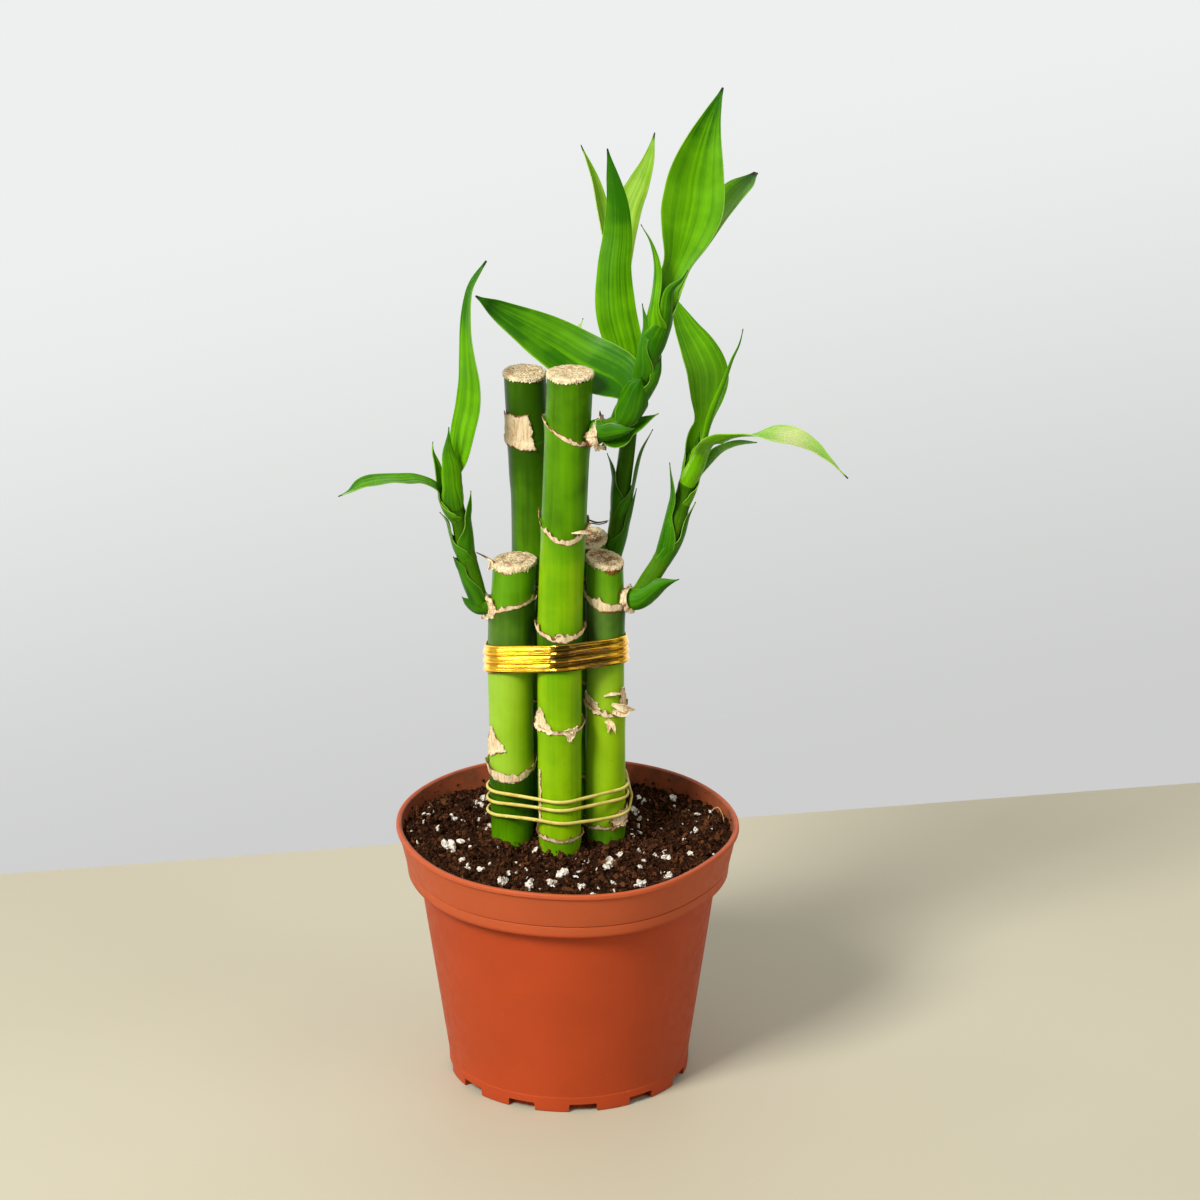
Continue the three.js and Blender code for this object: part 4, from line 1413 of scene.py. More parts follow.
    def _scatter_coir(self) -> None:
        """Reddish fibres that lie curled on the bed, and one long pale straw at the right."""
        draw = Random("coir")
        templates = []
        for i, bend in enumerate(self.coir_bends):
            path = ((-1, 0, 0), (-0.3, bend, 0.05), (0.4, bend * 0.4, 0.12), (1, -bend, 0))
            templates.append(thread(f"fibre_{i}", path, (0.08, 0.12, 0.05), 3))
        places = []
        for i in range(self.coir_count):
            long = i < self.coir_count // 6
            size = draw.uniform(2, 4.2) if long else draw.uniform(0.6, 2)
            x, y = self._free_spot(draw, 2.5 if long else 1.2)
            centre = (x, y, self.height_at(x, y) + draw.uniform(0.4, 1.2))
            turn = (draw.uniform(-0.25, 0.25), draw.uniform(-0.3, 0.3), draw.uniform(0, TURN))
            places.append((draw.randrange(len(templates)), centre, turn, (size, size, max(size, 2))))
        keep(scattered("coir_fibres", templates, places), Finish.COIR, angle=80)
        keep(thread("long_straw", self.straw, (0.16, 0.2, 0.12), 6), Finish.STRAW, angle=80)

    def _dust_wall(self) -> None:
        """Crumbs that stick to the inner wall, most of them low down."""
        draw = Random("wall")
        places = []
        for _ in range(self.wall_crumb_count):
            size = draw.uniform(0.15, 0.5)
            angle = draw.uniform(0, TURN)
            z = between(float(self.edge_at(angle)), self.pot.height - self.pot.lip_height, draw.random() ** 2)
            radius = float(self.pot.inner_at(z) + self.pot.out_of_round(angle, z)) - size * 0.4
            centre = (radius * math.cos(angle), radius * math.sin(angle), z)
            places.append((0, centre, self._turn(draw), (size, size, size)))
        keep(scattered("wall_crumbs", [pebble("speck", "speck", 1, 0.35)], places), Finish.PEAT, angle=25)

    def _turn(self, draw: Random) -> Point:
        """Draws a turn about all three axes."""
        return draw.uniform(0, TURN), draw.uniform(0, TURN), draw.uniform(0, TURN)


# --- Canes ---


@dataclass(frozen=True)
class Ring:
    """The scar of a fallen leaf round a cane, with the dry rag of its sheath.

    height is at the front; dip is how much higher it runs behind and at the sides, and lean is how
    much higher at the right than in the middle. rag is the height of the dry band on it, and cup is
    how far the cane swells at it, over the lengths below and above.
    """

    height: float
    dip: float = 2.0
    lean: float = 0.0
    rag: float = 1.6
    ragged: float = 0.5
    cup: float = 0.45
    below: float = 3.6
    above: float = 2.2

    def level(self, angle: Rows, seed: str) -> Rows:
        """The ring's height round the cane.

        Args:
            angle: Angles from +X.
            seed: Sets the ring's own unevenness.

        Returns:
            The height at each angle.
        """
        front = np.clip(-np.sin(angle), 0, 1) ** 1.5
        wobble = 0.22 * uneven(angle, seed, (2, 3, 5, 9))
        return self.height + self.dip * (1 - front) + self.lean * np.cos(angle) + wobble


@dataclass(frozen=True)
class SawnTop:
    """A cane's dry sawn end: its slope towards +X and +Y, and the rim that hangs over its side."""

    slope: tuple[float, float] = (0.0, 0.0)
    skirt: float = 1.3
    lobe: float = 0.8
    lobe_at: float = -100
    worn: float = 1.0
    face_share: float = 0.62


@dataclass(frozen=True)
class Cane:
    """One upright green cane with its ring scars and its sawn top.

    girth, tones and bloom are pairs of a height and a radius, a lightness and a whitish wax coat,
    which is laid on the left, lit side only and so is partly painted sheen.
    """

    name: str
    node: str
    path: tuple[Point, ...]
    girth: Pairs
    rings: tuple[Ring, ...]
    tones: Pairs
    top: SawnTop
    bloom_and_sheen: Pairs = ((0, 0.04),)
    columns: int = 72
    coarse: float = 2.5
    fine: tuple[float, ...] = (-4, -3, -2.2, -1.5, -0.9, -0.4, -0.03, 0.03, 0.4, 0.9, 1.6, 2.5, 4)
    ring_reach: float = 14
    sunk: float = 1.1

    @property
    def foot(self) -> Point:
        """The buried end."""
        return self.path[0]

    @property
    def foot_radius(self) -> float:
        """The radius there."""
        return self.girth[0][1]

    @property
    def height(self) -> float:
        """The height of the sawn top."""
        return self.path[-1][2]

    @property
    def skin_top(self) -> float:
        """The height where the green skin ends, short of the sawn face."""
        return self.height - self.sunk

    def centre(self, z: Rows) -> Rows:
        """The axis at a height, as rows of x and y."""
        x, y, height = SmoothLine(self.path).points.T
        return np.stack([np.interp(z, height, x), np.interp(z, height, y)], axis=-1)

    def plain_radius(self, z: Rows) -> Rows:
        """The radius at a height without the rings."""
        return read_off(self.girth, z)

    def ring_level(self, ring: Ring, angle: Rows) -> Rows:
        """A ring's height at an angle."""
        return ring.level(angle, f"{self.name} {ring.height}")

    def radius(self, angle: Rows, z: Rows) -> Rows:
        """The radius of the surface, with the swelling at each ring.

        Args:
            angle: Angles from +X.
            z: Heights.

        Returns:
            The radius at each.
        """
        total = self.plain_radius(z)
        for ring in self.rings:
            rise = z - self.ring_level(ring, angle)
            swell = ring.cup * np.exp(-(rise / ring.below) ** 2)
            shoulder = 0.25 * ring.cup * np.exp(-(rise / ring.above) ** 2)
            total = total + np.where(rise < 0, swell, shoulder)
        return total + 0.06 * uneven(angle, self.name, (2, 3, 5))

    def spot(self, angle: Rows, z: Rows, lift: Rows | float) -> Rows:
        """Points over the surface at angles, heights and lifts."""
        return polar(self.radius(angle, z) + lift, angle, z, self.centre(z))

    def levels(self) -> Rows:
        """Spaces the mesh's rows, closer together at each ring.

        Returns:
            The rows' heights, from the foot up.
        """
        rows = set(np.arange(self.foot[2], self.skin_top, self.coarse))
        for ring in self.rings:
            rows = {z for z in rows if abs(z - ring.height) > self.fine[-1]}
            rows.update(ring.height + step for step in self.fine if ring.height + step < self.skin_top)
        rows.add(self.skin_top)
        return np.array(sorted(rows))

    def build(self) -> None:
        """Builds the cane, its dry rings and its sawn top."""
        self._stem()
        for i, ring in enumerate(self.rings):
            if ring.rag > 0:
                self._rag(i, ring)
        self._sawn_top()

    def _with_rings(self, angle: Rows, z: Rows, way: int) -> Rows:
        """Moves heights near a ring with its slope, or back.

        Args:
            angle: Angles from +X.
            z: Heights.
            way: 1 to move them with the slope, -1 to move them back.

        Returns:
            The moved heights.
        """
        for ring in self.rings:
            near = smooth(1 - np.abs(z - ring.height) / self.ring_reach, 0, 1)
            z = z + way * (self.ring_level(ring, angle) - ring.height) * near
        return z

    def _stem(self) -> None:
        """The green stem, closed at both ends."""
        levels = self.levels()
        last = len(levels) - 1
        stem, round_it, along_it = flat_sheet(self.name, self.columns, last)
        angle = round_it * math.pi
        z = self._with_rings(angle, levels[nearest(along_it, last)], 1)
        write_points(stem, self.spot(angle, np.clip(z, self.foot[2], self.skin_top), 0) * MM)
        close_tube(stem)
        points = read_points(stem) / MM
        angle = np.arctan2(*(points[:, :2] - self.centre(points[:, 2])).T[::-1])
        z = self._with_rings(angle, points[:, 2], -1)
        scars = (np.exp(-((z - ring.height) / 0.5) ** 2) for ring in self.rings if ring.rag > 0)
        note(stem, "scar", sum(scars))
        note(stem, "tone", read_off(self.tones, z))
        # Only the left, lit side takes the whitish coat: part real wax, part painted sheen.
        note(stem, "bloom_and_sheen", read_off(self.bloom_and_sheen, z) * (0.5 - 0.5 * np.cos(angle)))
        keep(stem, Finish.CANE, self.node, angle=40)

    def _rag(self, number: int, ring: Ring) -> None:
        """The dry band that the fallen leaf left on a ring.

        Args:
            number: The ring's number on the cane.
            ring: The ring.
        """
        seed = f"{self.name} rag {number}"
        rag, round_it, along_it = flat_sheet(f"{self.name}_rag_{number}", 200, 6)
        angle = round_it * math.pi
        level = self.ring_level(ring, angle)
        teeth = uneven(angle, seed, (3, 5, 11, 23, 37), 0.4)
        spikes = np.maximum(0, uneven(angle, seed + " spikes", (5, 11, 23), 0.15) - 0.3)
        gaps = np.maximum(0, uneven(angle, seed + " gaps", (4, 7, 15), 0.3) - 0.3)
        low = ring.rag * (0.45 + 0.2 * uneven(angle, seed + " low", (2, 5, 12, 31), 0.7))
        high = ring.rag * (0.5 + ring.ragged * (0.5 * teeth + 2.4 * spikes) - 2.4 * ring.ragged * gaps)
        high = np.maximum(high, 0.12 - low * 0.6)
        flare = 0.1 + (0.25 + 0.55 * np.abs(uneven(angle, seed + " lift", (4, 9, 17), 0.4))) * along_it
        reach = self.radius(angle, level - 0.05 - low * (1 - along_it)) + flare
        z = level + between(-low, high, along_it)
        write_points(rag, polar(reach, angle, z, self.centre(level)) * MM)
        patches = smooth(uneven(angle + math.pi, seed + " brown", (3, 7, 11), 0.3), 0.1, 0.5)
        note(rag, "edge", np.maximum(smooth(np.abs(along_it - 0.55), 0.22, 0.44), 0.6 * patches))
        in_edit_mode(rag, weld)
        thicken(rag, 0.17)
        keep(rag, Finish.PAPER, angle=60)

    def _sawn_top(self) -> None:
        """The sawn face with the dry rim that hangs over the side."""
        top, middle, radius = self.top, self.centre(self.height), self.plain_radius(self.height)
        cap, round_it, along_it = flat_sheet(f"{self.name}_top", 128, 28)
        angle = round_it * math.pi
        rim = radius + 0.1 + 0.1 * uneven(angle, self.name + " rim", (2, 5, 9))
        out = np.clip(along_it / top.face_share, 0, 1)
        fall = np.clip((along_it - top.face_share) / (1 - top.face_share), 0, 1)
        chips = np.maximum(0, uneven(angle, self.name + " chips", (9, 17, 31, 43), 0.1))
        chipped = 1 - 0.09 * chips * smooth(out, 0.75, 1) * (1 - fall)
        reach = rim * out * chipped + 0.1 * np.sin(fall * math.pi)
        hang = 0.8 + 0.35 * uneven(angle, self.name + " skirt", (3, 7, 13, 24), 0.4)
        hang = top.skirt * (hang + 0.5 * uneven(angle, self.name + " teeth", (31, 39, 47), 0))
        hang = hang + top.lobe * np.exp(-((angle - math.radians(top.lobe_at)) / 0.5) ** 2)
        tilt = reach * (np.cos(angle) * top.slope[0] + np.sin(angle) * top.slope[1])
        dish = 0.4 * top.worn * (1 - out * out) + 0.25 * smooth(out, 0.8, 1)
        z = self.height + 0.3 + tilt - dish - hang * fall
        write_points(cap, polar(reach, angle, z, middle) * MM)
        close_tube(cap, capped=False)
        x, y, z = (read_points(cap) / MM).T
        share = np.hypot(x - middle[0], y - middle[1]) / radius
        note(cap, "out", share)
        note(cap, "core", (1 - smooth(share, 0.72, 0.92)) * top.worn)
        note(cap, "edge", smooth(self.height - z, top.skirt * 0.6, top.skirt + top.lobe) * 1.1)
        fibres = bpy.data.textures.new(f"{self.name}_fibres", "CLOUDS")
        fibres.noise_scale = 0.6 * MM
        fibres.noise_depth = 3
        modify(cap, "DISPLACE", texture=fibres, direction="NORMAL", strength=0.45 * MM, mid_level=0.5)
        thicken(cap, 0.25)
        keep(cap, Finish.PITH, angle=50)

    def scrap(self, name: str, corners: Pairs, lift: float, torn: float, brown: float) -> None:
        """A torn scrap of dry sheath that lies on the cane.

        Args:
            name: The piece's name.
            corners: Upper left, upper right, lower right and lower left, each as degrees from the
                front towards the right, and height.
            lift: How far its edges stand off.
            torn: How ragged its edges are.
            brown: How brown its edges are.
        """
        upper_left, upper_right, lower_right, lower_left = (np.array(corner, float) for corner in corners)
        piece, across, along_it = flat_sheet(name, 20, 20)
        side, end = np.abs(across), np.abs(2 * along_it - 1)
        border = np.maximum(side, end)
        u, v = ((across + 1) / 2)[:, None], along_it[:, None]
        degrees, z = between(between(lower_left, lower_right, u), between(upper_left, upper_right, u), v).T
        side_tear = uneven(along_it * 5, name + " side", (2, 5, 11), 0.4) * torn * side
        end_tear = uneven(across * 3, name + " end", (2, 5, 11), 0.4) * torn * end
        off = 0.16 + lift * border**3 + 0.1 * uneven(across * 6 + along_it * 3, name, (1, 3, 5))
        angle = FRONT + np.radians(degrees) + side_tear / self.girth[-1][1]
        write_points(piece, self.spot(angle, z + end_tear, off) * MM)
        note(piece, "edge", smooth(border, 0.7, 1) * brown)
        thicken(piece, 0.24)
        keep(piece, Finish.PAPER, angle=60)


@dataclass(frozen=True)
class Tuft:
    """The dry torn sheath round the foot of a shoot: a jagged collar with curled strips in it."""

    name: str
    centre: Point
    toward: Point
    radius: float = 3.4
    reach: float = 2.4
    count: int = 14
    length: float = 3
    cane_radius: float = 7

    def build(self) -> None:
        """Builds the collar and its strips as one piece."""
        draw = Random(self.name)
        pieces = [self._collar(), *(self._strip(i, draw) for i in range(self.count))]
        keep(joined(self.name, pieces), Finish.PAPER, angle=60)

    def _frame(self) -> tuple[Rows, Rows, Rows]:
        """Finds the tuft's own directions.

        Returns:
            Out of the cane, level round it, and up along it.
        """
        axis = unit(np.array(self.toward, float))
        side = unit(np.cross(axis, (0, 0, 1)))
        return axis, side, np.cross(side, axis)

    def _collar(self) -> Piece:
        """Makes a jagged sheet that runs from the shoot over the cane's side.

        Returns:
            The sheet.
        """
        axis, side, up = self._frame()
        centre = np.array(self.centre, float)
        collar, round_it, along_it = flat_sheet(f"{self.name}_collar", 160, 6)
        angle = round_it * math.pi
        spikes = np.maximum(0, uneven(angle, self.name + " spikes", (7, 12, 19), 0.2))
        edge = 0.65 + 0.4 * uneven(angle, self.name, (3, 9, 19, 31), 0.5) + 0.4 * spikes
        reach = self.radius * 0.95 + self.reach * edge * along_it
        level, rise = reach * np.cos(angle), reach * np.sin(angle)
        off = 0.9 * (1 - along_it) + 0.5 * along_it**2 * (1 + uneven(angle, self.name + " lift", (4, 7, 15)))
        off = off - level**2 / (2 * self.cane_radius) * smooth(along_it, -0.3, 0.8)
        own = np.stack([level, rise, off], axis=-1)
        write_points(collar, (centre + own @ np.array([side, up, axis])) * MM)
        in_edit_mode(collar, weld)
        out = np.linalg.norm(read_points(collar) / MM - centre, axis=1) / (self.radius + self.reach)
        note(collar, "edge", 0.6 + 0.5 * smooth(np.abs(out - 0.72), 0.02, 0.3))
        thicken(collar, 0.2)
        return collar

    def _strip(self, number: int, draw: Random) -> Piece:
        """Makes a curled strip that leans out of the collar.

        Args:
            number: The strip's number.
            draw: The source of the draws.

        Returns:
            The strip.
        """
        axis, side, up = self._frame()
        turn = TURN * (number + draw.uniform(-0.4, 0.4)) / self.count
        spoke = side * math.cos(turn) + up * math.sin(turn)
        length = self.length * draw.uniform(0.35, 0.8)
        foot = np.array(self.centre) + spoke * self.radius * draw.uniform(0.85, 1.15) - axis * 0.6
        knee = foot + axis * length * 0.6 + spoke * draw.uniform(0.1, 0.5)
        tip = knee + axis * length * draw.uniform(0.1, 0.3) + spoke * length * draw.uniform(0.1, 0.35)
        widths = (draw.uniform(1, 2.2), draw.uniform(0.5, 1.8), 0.15)
        turns = (0, draw.uniform(-60, 60))
        path = [tuple(point) for point in (foot, knee, tip)]
        made = strip(f"{self.name}_{number}", path, widths, tuple(spoke), turns, 60, 0.16, (4, 8))
        note(made, "edge", draw.uniform(0.5, 1.1))
        return made


# --- Shoots and leaves ---


class Outline(Enum):
    """A leaf's width at even steps from the sheath's mouth to the tip, 1 at its widest."""

    LANCE = (0.4, 0.46, 0.78, 1, 0.97, 0.8, 0.54, 0.26, 0.03)
    LATE = (0.42, 0.4, 0.5, 0.68, 0.9, 1, 0.86, 0.46, 0.03)
    LOW = (0.45, 0.84, 1, 1, 0.86, 0.75, 0.6, 0.34, 0.03)
    TONGUE = (0.46, 0.9, 1, 0.98, 0.9, 0.76, 0.56, 0.3, 0.03)
    BRACT = (1, 1, 0.96, 0.86, 0.7, 0.5, 0.28, 0.1, 0.02)
    ROLLED = (0.9, 1, 0.95, 0.8, 0.62, 0.46, 0.32, 0.18, 0.03)
    PINCHED = (0.95, 0.8, 0.38, 0.58, 0.8, 0.74, 0.52, 0.26, 0.03)
    BLUNT = (0.42, 0.5, 0.62, 0.78, 0.92, 1, 1, 0.86, 0.15)


LANCE, LATE, LOW, TONGUE, BRACT, ROLLED, PINCHED, BLUNT = Outline


@dataclass(frozen=True)
class Leaf:
    """A leaf, bract or husk: a sheath that hugs its shoot, and a free blade.

    span is where the sheath hugs the shoot, in shares of its length; side is the direction that it
    faces, in degrees from +X; path is the middle of the free blade; curl and wrap are how far the
    blade's and the sheath's sections bend, in degrees; twist turns the blade about its length. light
    is painted light and shade: it makes the leaf lighter where it is lit and darker where it is
    shaded, at even steps along it.
    """

    name: str
    span: tuple[float, float]
    side: float
    width: float
    outline: Outline
    curl: float
    path: tuple[Point, ...]
    twist: tuple[float, ...] = (0, 0)
    wrap: float = 245
    flare: float = 0.7
    finish: Finish = Finish.HUSK
    light: tuple[float, ...] = (0, 0)
    wave: float = 0.0

    def build(self, shoot: "Shoot", gap: float) -> None:
        """Bends a flat sheet to the sheath and blade, and thickens it.

        Args:
            shoot: The shoot that it grows on.
            gap: The clearance between its sheath and the shoot.
        """
        columns = 22 if self.width > 12 else 16
        rows = max(26, round((len(self.path) + 2) * 9))
        kind = "blade" if len(self.path) > 2 else "sheath"
        piece, _, along_it = flat_sheet(f"{self.name}_{kind}", columns, rows)
        write_points(piece, self._grid(shoot, gap, columns, rows).reshape(-1, 3) * MM)
        note(piece, "variety", Random(self.name).random())
        # Painted light and shade along the leaf.
        note(piece, "light", along(self.light, along_it))
        thicken(piece, 0.3)
        keep(piece, self.finish, self.name, angle=60)

    def _grid(self, shoot: "Shoot", gap: float, columns: int, rows: int) -> Rows:
        """Bends the sheet round the shoot and along the blade's path.

        Args:
            shoot: The shoot that it grows on.
            gap: The clearance between its sheath and the shoot.
            columns: How many faces it has across.
            rows: How many faces it has along.

        Returns:
            The points, by row and column.
        """
        away = np.array((math.cos(math.radians(self.side)), math.sin(math.radians(self.side)), 0))
        points = []
        for share, opening in zip((self.span[0], sum(self.span) / 2, self.span[1]), (0, 0.5, 1)):
            middle, axis, radius = shoot.at(share)
            out = unit(away - axis * (away @ axis))
            points.append(middle + out * (radius + (gap + self.flare * opening) * min(1, opening * 3)))
            if opening == 0:
                inward, hug = -out, radius
        sheath_length = np.linalg.norm(points[1] - points[0]) + np.linalg.norm(points[2] - points[1])
        line = SmoothLine([*points, *self.path])
        share = np.linspace(0, 1, rows + 1)
        sheath = min(0.9, sheath_length / line.length)
        centre = line.at(share)
        blade = np.clip((share - sheath) / (1 - sheath), 0, 1)
        axis = unit(np.gradient(centre, axis=0))
        sides, faces = carried_frame(axis, inward, np.radians(along(self.twist, blade)))
        in_sheath = np.clip(share / sheath, 0, 1)
        wrap = math.radians(self.wrap)
        width = between(wrap * hug, self.width * along(self.outline.value, blade), smooth(in_sheath, 0.35, 1))
        rolled_up = width / (hug + gap * smooth(in_sheath, 0, 0.3) + self.flare * in_sheath)
        bend = between(rolled_up, math.radians(self.curl), smooth(share, 0.6 * sheath, 1.4 * sheath + 0.02))
        across = np.linspace(-1, 1, columns + 1)
        radius = (width / bend)[:, None]
        angle = across * bend[:, None] / 2
        draw = Random(self.name + " wave")
        ripple = sum(np.sin(share * wave * math.pi + draw.uniform(0, TURN)) for wave in (3, 5, 8)) / 3
        crease = 0.05 * width * blade * (1 - blade)
        depth = radius * (1 - np.cos(angle)) + (crease[:, None] * 4 * (np.abs(across) - 0.5))
        depth = depth + self.wave * (ripple * blade)[:, None] * across * np.abs(across)
        level = (radius * np.sin(angle))[..., None]
        return centre[:, None] + sides[:, None] * level + faces[:, None] * depth[..., None]


@dataclass(frozen=True)
class Blade(Leaf):
    """A grown green leaf."""

    finish: Finish = Finish.LEAF


@dataclass(frozen=True)
class Shoot:
    """A green shoot with its sheaths and leaves, from the lowest and outermost to the innermost."""

    name: str
    node: str
    path: tuple[Point, ...]
    radii: tuple[float, float]
    leaves: tuple[Leaf, ...]
    steps: int = 70
    tip_from: float = 0.84

    def at(self, share: float) -> tuple[Rows, Rows, float]:
        """Place, direction and radius at a share of the length."""
        line = SmoothLine(self.path)
        return line.at(share)[0], line.direction(np.array([share]))[0], between(*self.radii, share)

    def build(self) -> None:
        """Builds the stem and its leaves, with room under each sheath for the later ones."""
        self._stem()
        for i, leaf in enumerate(self.leaves):
            inner = [later for later in self.leaves[i + 1:] if later.span[0] < leaf.span[1] - 0.02]
            leaf.build(self, 0.22 + 0.3 * len(inner))

    def _stem(self) -> None:
        """The stem, with a soft step where each sheath starts and a rounded tip."""
        line = SmoothLine(self.path)
        share = np.linspace(0, 1, self.steps + 1)
        radius = between(*self.radii, share)
        for leaf in self.leaves:
            radius = radius + 0.15 * np.exp(-((share - leaf.span[0]) / 0.012) ** 2)
        radius = radius * (1 - 0.9 * smooth(share, self.tip_from, 1))
        frame = carried_frame(line.direction(share), (0.1, -1, 0.1))
        stem = tube(self.name, 28, line.at(share), frame, radius)
        note(stem, "light", 0)
        note(stem, "variety", 0.5)
        keep(stem, Finish.STEM, self.node, angle=50)


# --- Gold tie and rubber band ---


class Bundle:
    """The canes together, as a string pulled tight round them would feel them."""

    STEPS = 720

    def __init__(self, canes: Sequence[Cane], z: float, clearance: float) -> None:
        """Finds the line of the string.

        Args:
            canes: The canes that it goes round.
            z: The height of the string.
            clearance: The gap that it keeps.
        """
        angle = np.linspace(0, TURN, self.STEPS, endpoint=False)
        self.out = np.stack([np.cos(angle), -np.sin(angle)], axis=-1)
        centres = np.array([cane.centre(z) for cane in canes])
        radii = np.array([cane.plain_radius(z) for cane in canes])
        outer = np.argmax(self.out @ centres.T + radii, axis=1)
        self.spots = centres[outer] + self.out * (radii[outer] + clearance)[:, None]
        steps = np.linalg.norm(np.roll(self.spots, -1, axis=0) - self.spots, axis=1)
        self.lengths = np.concatenate([[0], np.cumsum(steps)])

    def at(self, turn: Rows) -> tuple[Rows, Rows]:
        """Follows the string.

        Args:
            turn: Turns round the bundle, clockwise from +X.

        Returns:
            The places and the outward directions there.
        """
        length = (np.asarray(turn) % 1) * self.lengths[-1]
        columns = np.column_stack([self.spots, self.out]).T
        x, y, out_x, out_y = (np.interp(length, self.lengths, [*column, column[0]]) for column in columns)
        return np.stack([x, y], axis=-1), unit(np.stack([out_x, out_y], axis=-1))


@dataclass(frozen=True)
class GoldTie:
    """A gold ribbon with a wire in its edge, wound three times and twisted shut behind."""

    canes: Sequence[Cane]
    level: float = 138.75
    lean: float = 0.073
    rise: float = 0.304
    bend: float = 4
    pitch: float = 2.7
    width: float = 3.4
    thickness: float = 0.16
    turns: int = 3
    clearance: float = 0.55
    tail: tuple[Point, ...] = (
        (0.5, 20.5, 140), (1.5, 22.5, 139.5), (3.5, 25, 137), (5, 26, 132), (4.5, 26.5, 127),
    )
    tail_widths: tuple[float, ...] = (2.6, 1.6, 1.6, 2.4)

    def build(self) -> None:
        """Winds the ribbon and twists its ends."""
        ribbon, across, along_it = flat_sheet("gold_ribbon", 24, 560)
        turn = along_it * self.turns
        spots, out = Bundle(self.canes, self.level, self.clearance).at(turn - 0.25)
        step = np.floor(np.minimum(turn, self.turns - 1e-6))
        into = turn - step
        strand = 1 - (step + smooth(into, 0.85, 1)) + smooth(into, 0.95, 1) * (step > self.turns - 1.5)
        fold = 0.38 * np.exp(-((across + 0.66) / 0.2) ** 2) + 0.12 * np.exp(-((across - 0.8) / 0.12) ** 2)
        crown = 0.3 + 0.06 * np.sin(along_it * 61) + 0.04 * np.sin(along_it * 143)
        off = 0.2 - 0.24 * across + fold + crown * (1 - across * across)
        x, y = (spots + out * off[:, None]).T
        climb = (np.hypot(y, self.bend) - y) / 2
        z = self.level + self.lean * x + self.rise * climb + strand * self.pitch + across * self.width / 2
        write_points(ribbon, np.stack([x, y, z], axis=-1) * MM)
        thicken(ribbon, self.thickness)
        pieces = [ribbon]
        for i, shift in enumerate((-0.5, 0.5)):
            path = [(x + shift, y, z) for x, y, z in self.tail]
            twist = (90 * i, 200, 420, 600)
            looks = (self.tail_widths, (0, 1, 0), twist, 50, self.thickness, (6, 60))
            pieces.append(strip(f"ribbon_end_{i}", path, *looks))
        keep(joined("gold_ribbon", pieces), Finish.GOLD, "gold_tie", angle=50)


@dataclass(frozen=True)
class RubberBand:
    """A pale rubber band wound three times, with one strand crossing back over the others.

    route is, at each turn, the strand's height and how far it lifts off the canes.
    """

    canes: Sequence[Cane]
    radius: float = 0.5
    spread: float = 1.15
    flat: float = 0.85
    level: float = 91
    turns: int = 3
    clearance: float = 0.35
    rows: int = 420
    route: tuple[Point, ...] = (
        (0, 86.5, 0.4), (0.06, 86.3, 0), (0.25, 88.2, 0), (0.5, 86, 0), (0.75, 88.5, 0), (1, 91.6, 0),
        (1.25, 92.4, 0), (1.5, 90.2, 0), (1.75, 92.4, 0), (2, 95, 0), (2.25, 95.2, 0), (2.5, 94.1, 0),
        (2.75, 96.8, 0), (2.9, 97.8, 0.4), (2.94, 96, 1.6), (2.98, 90, 1.6), (3, 86.5, 0.4),
    )

    def build(self) -> None:
        """Runs a round strand along the closed route."""
        turn = np.linspace(0, self.turns, self.rows + 1)
        keys = np.array(self.route)
        i = np.clip(np.searchsorted(keys[:, 0], turn, side="right"), 1, len(keys) - 1)
        share = smooth((turn - keys[i - 1, 0]) / (keys[i, 0] - keys[i - 1, 0]), 0, 1)
        z, lift = between(keys[i - 1, 1:], keys[i, 1:], share[:, None]).T
        spots, out = Bundle(self.canes, self.level, self.clearance + self.radius).at(turn)
        centre = np.column_stack([spots + out * lift[:, None], z])
        axis = np.roll(centre[:-1], -1, axis=0) - np.roll(centre[:-1], 1, axis=0)
        axis = unit(np.vstack([axis, axis[:1]]))
        faces = np.column_stack([out, np.zeros(self.rows + 1)])
        faces = unit(faces - axis * np.sum(faces * axis, axis=1, keepdims=True))
        frame = (np.cross(axis, faces) * self.spread, faces * self.flat)
        nicks = 0.03 * uneven(turn * TURN / self.turns, "band", (7, 19, 41, 83), 0.3)
        strand = tube("rubber_strand", 12, centre, frame, self.radius + nicks, capped=False)
        keep(strand, Finish.RUBBER, "rubber_band", angle=80)


# --- Studio ---


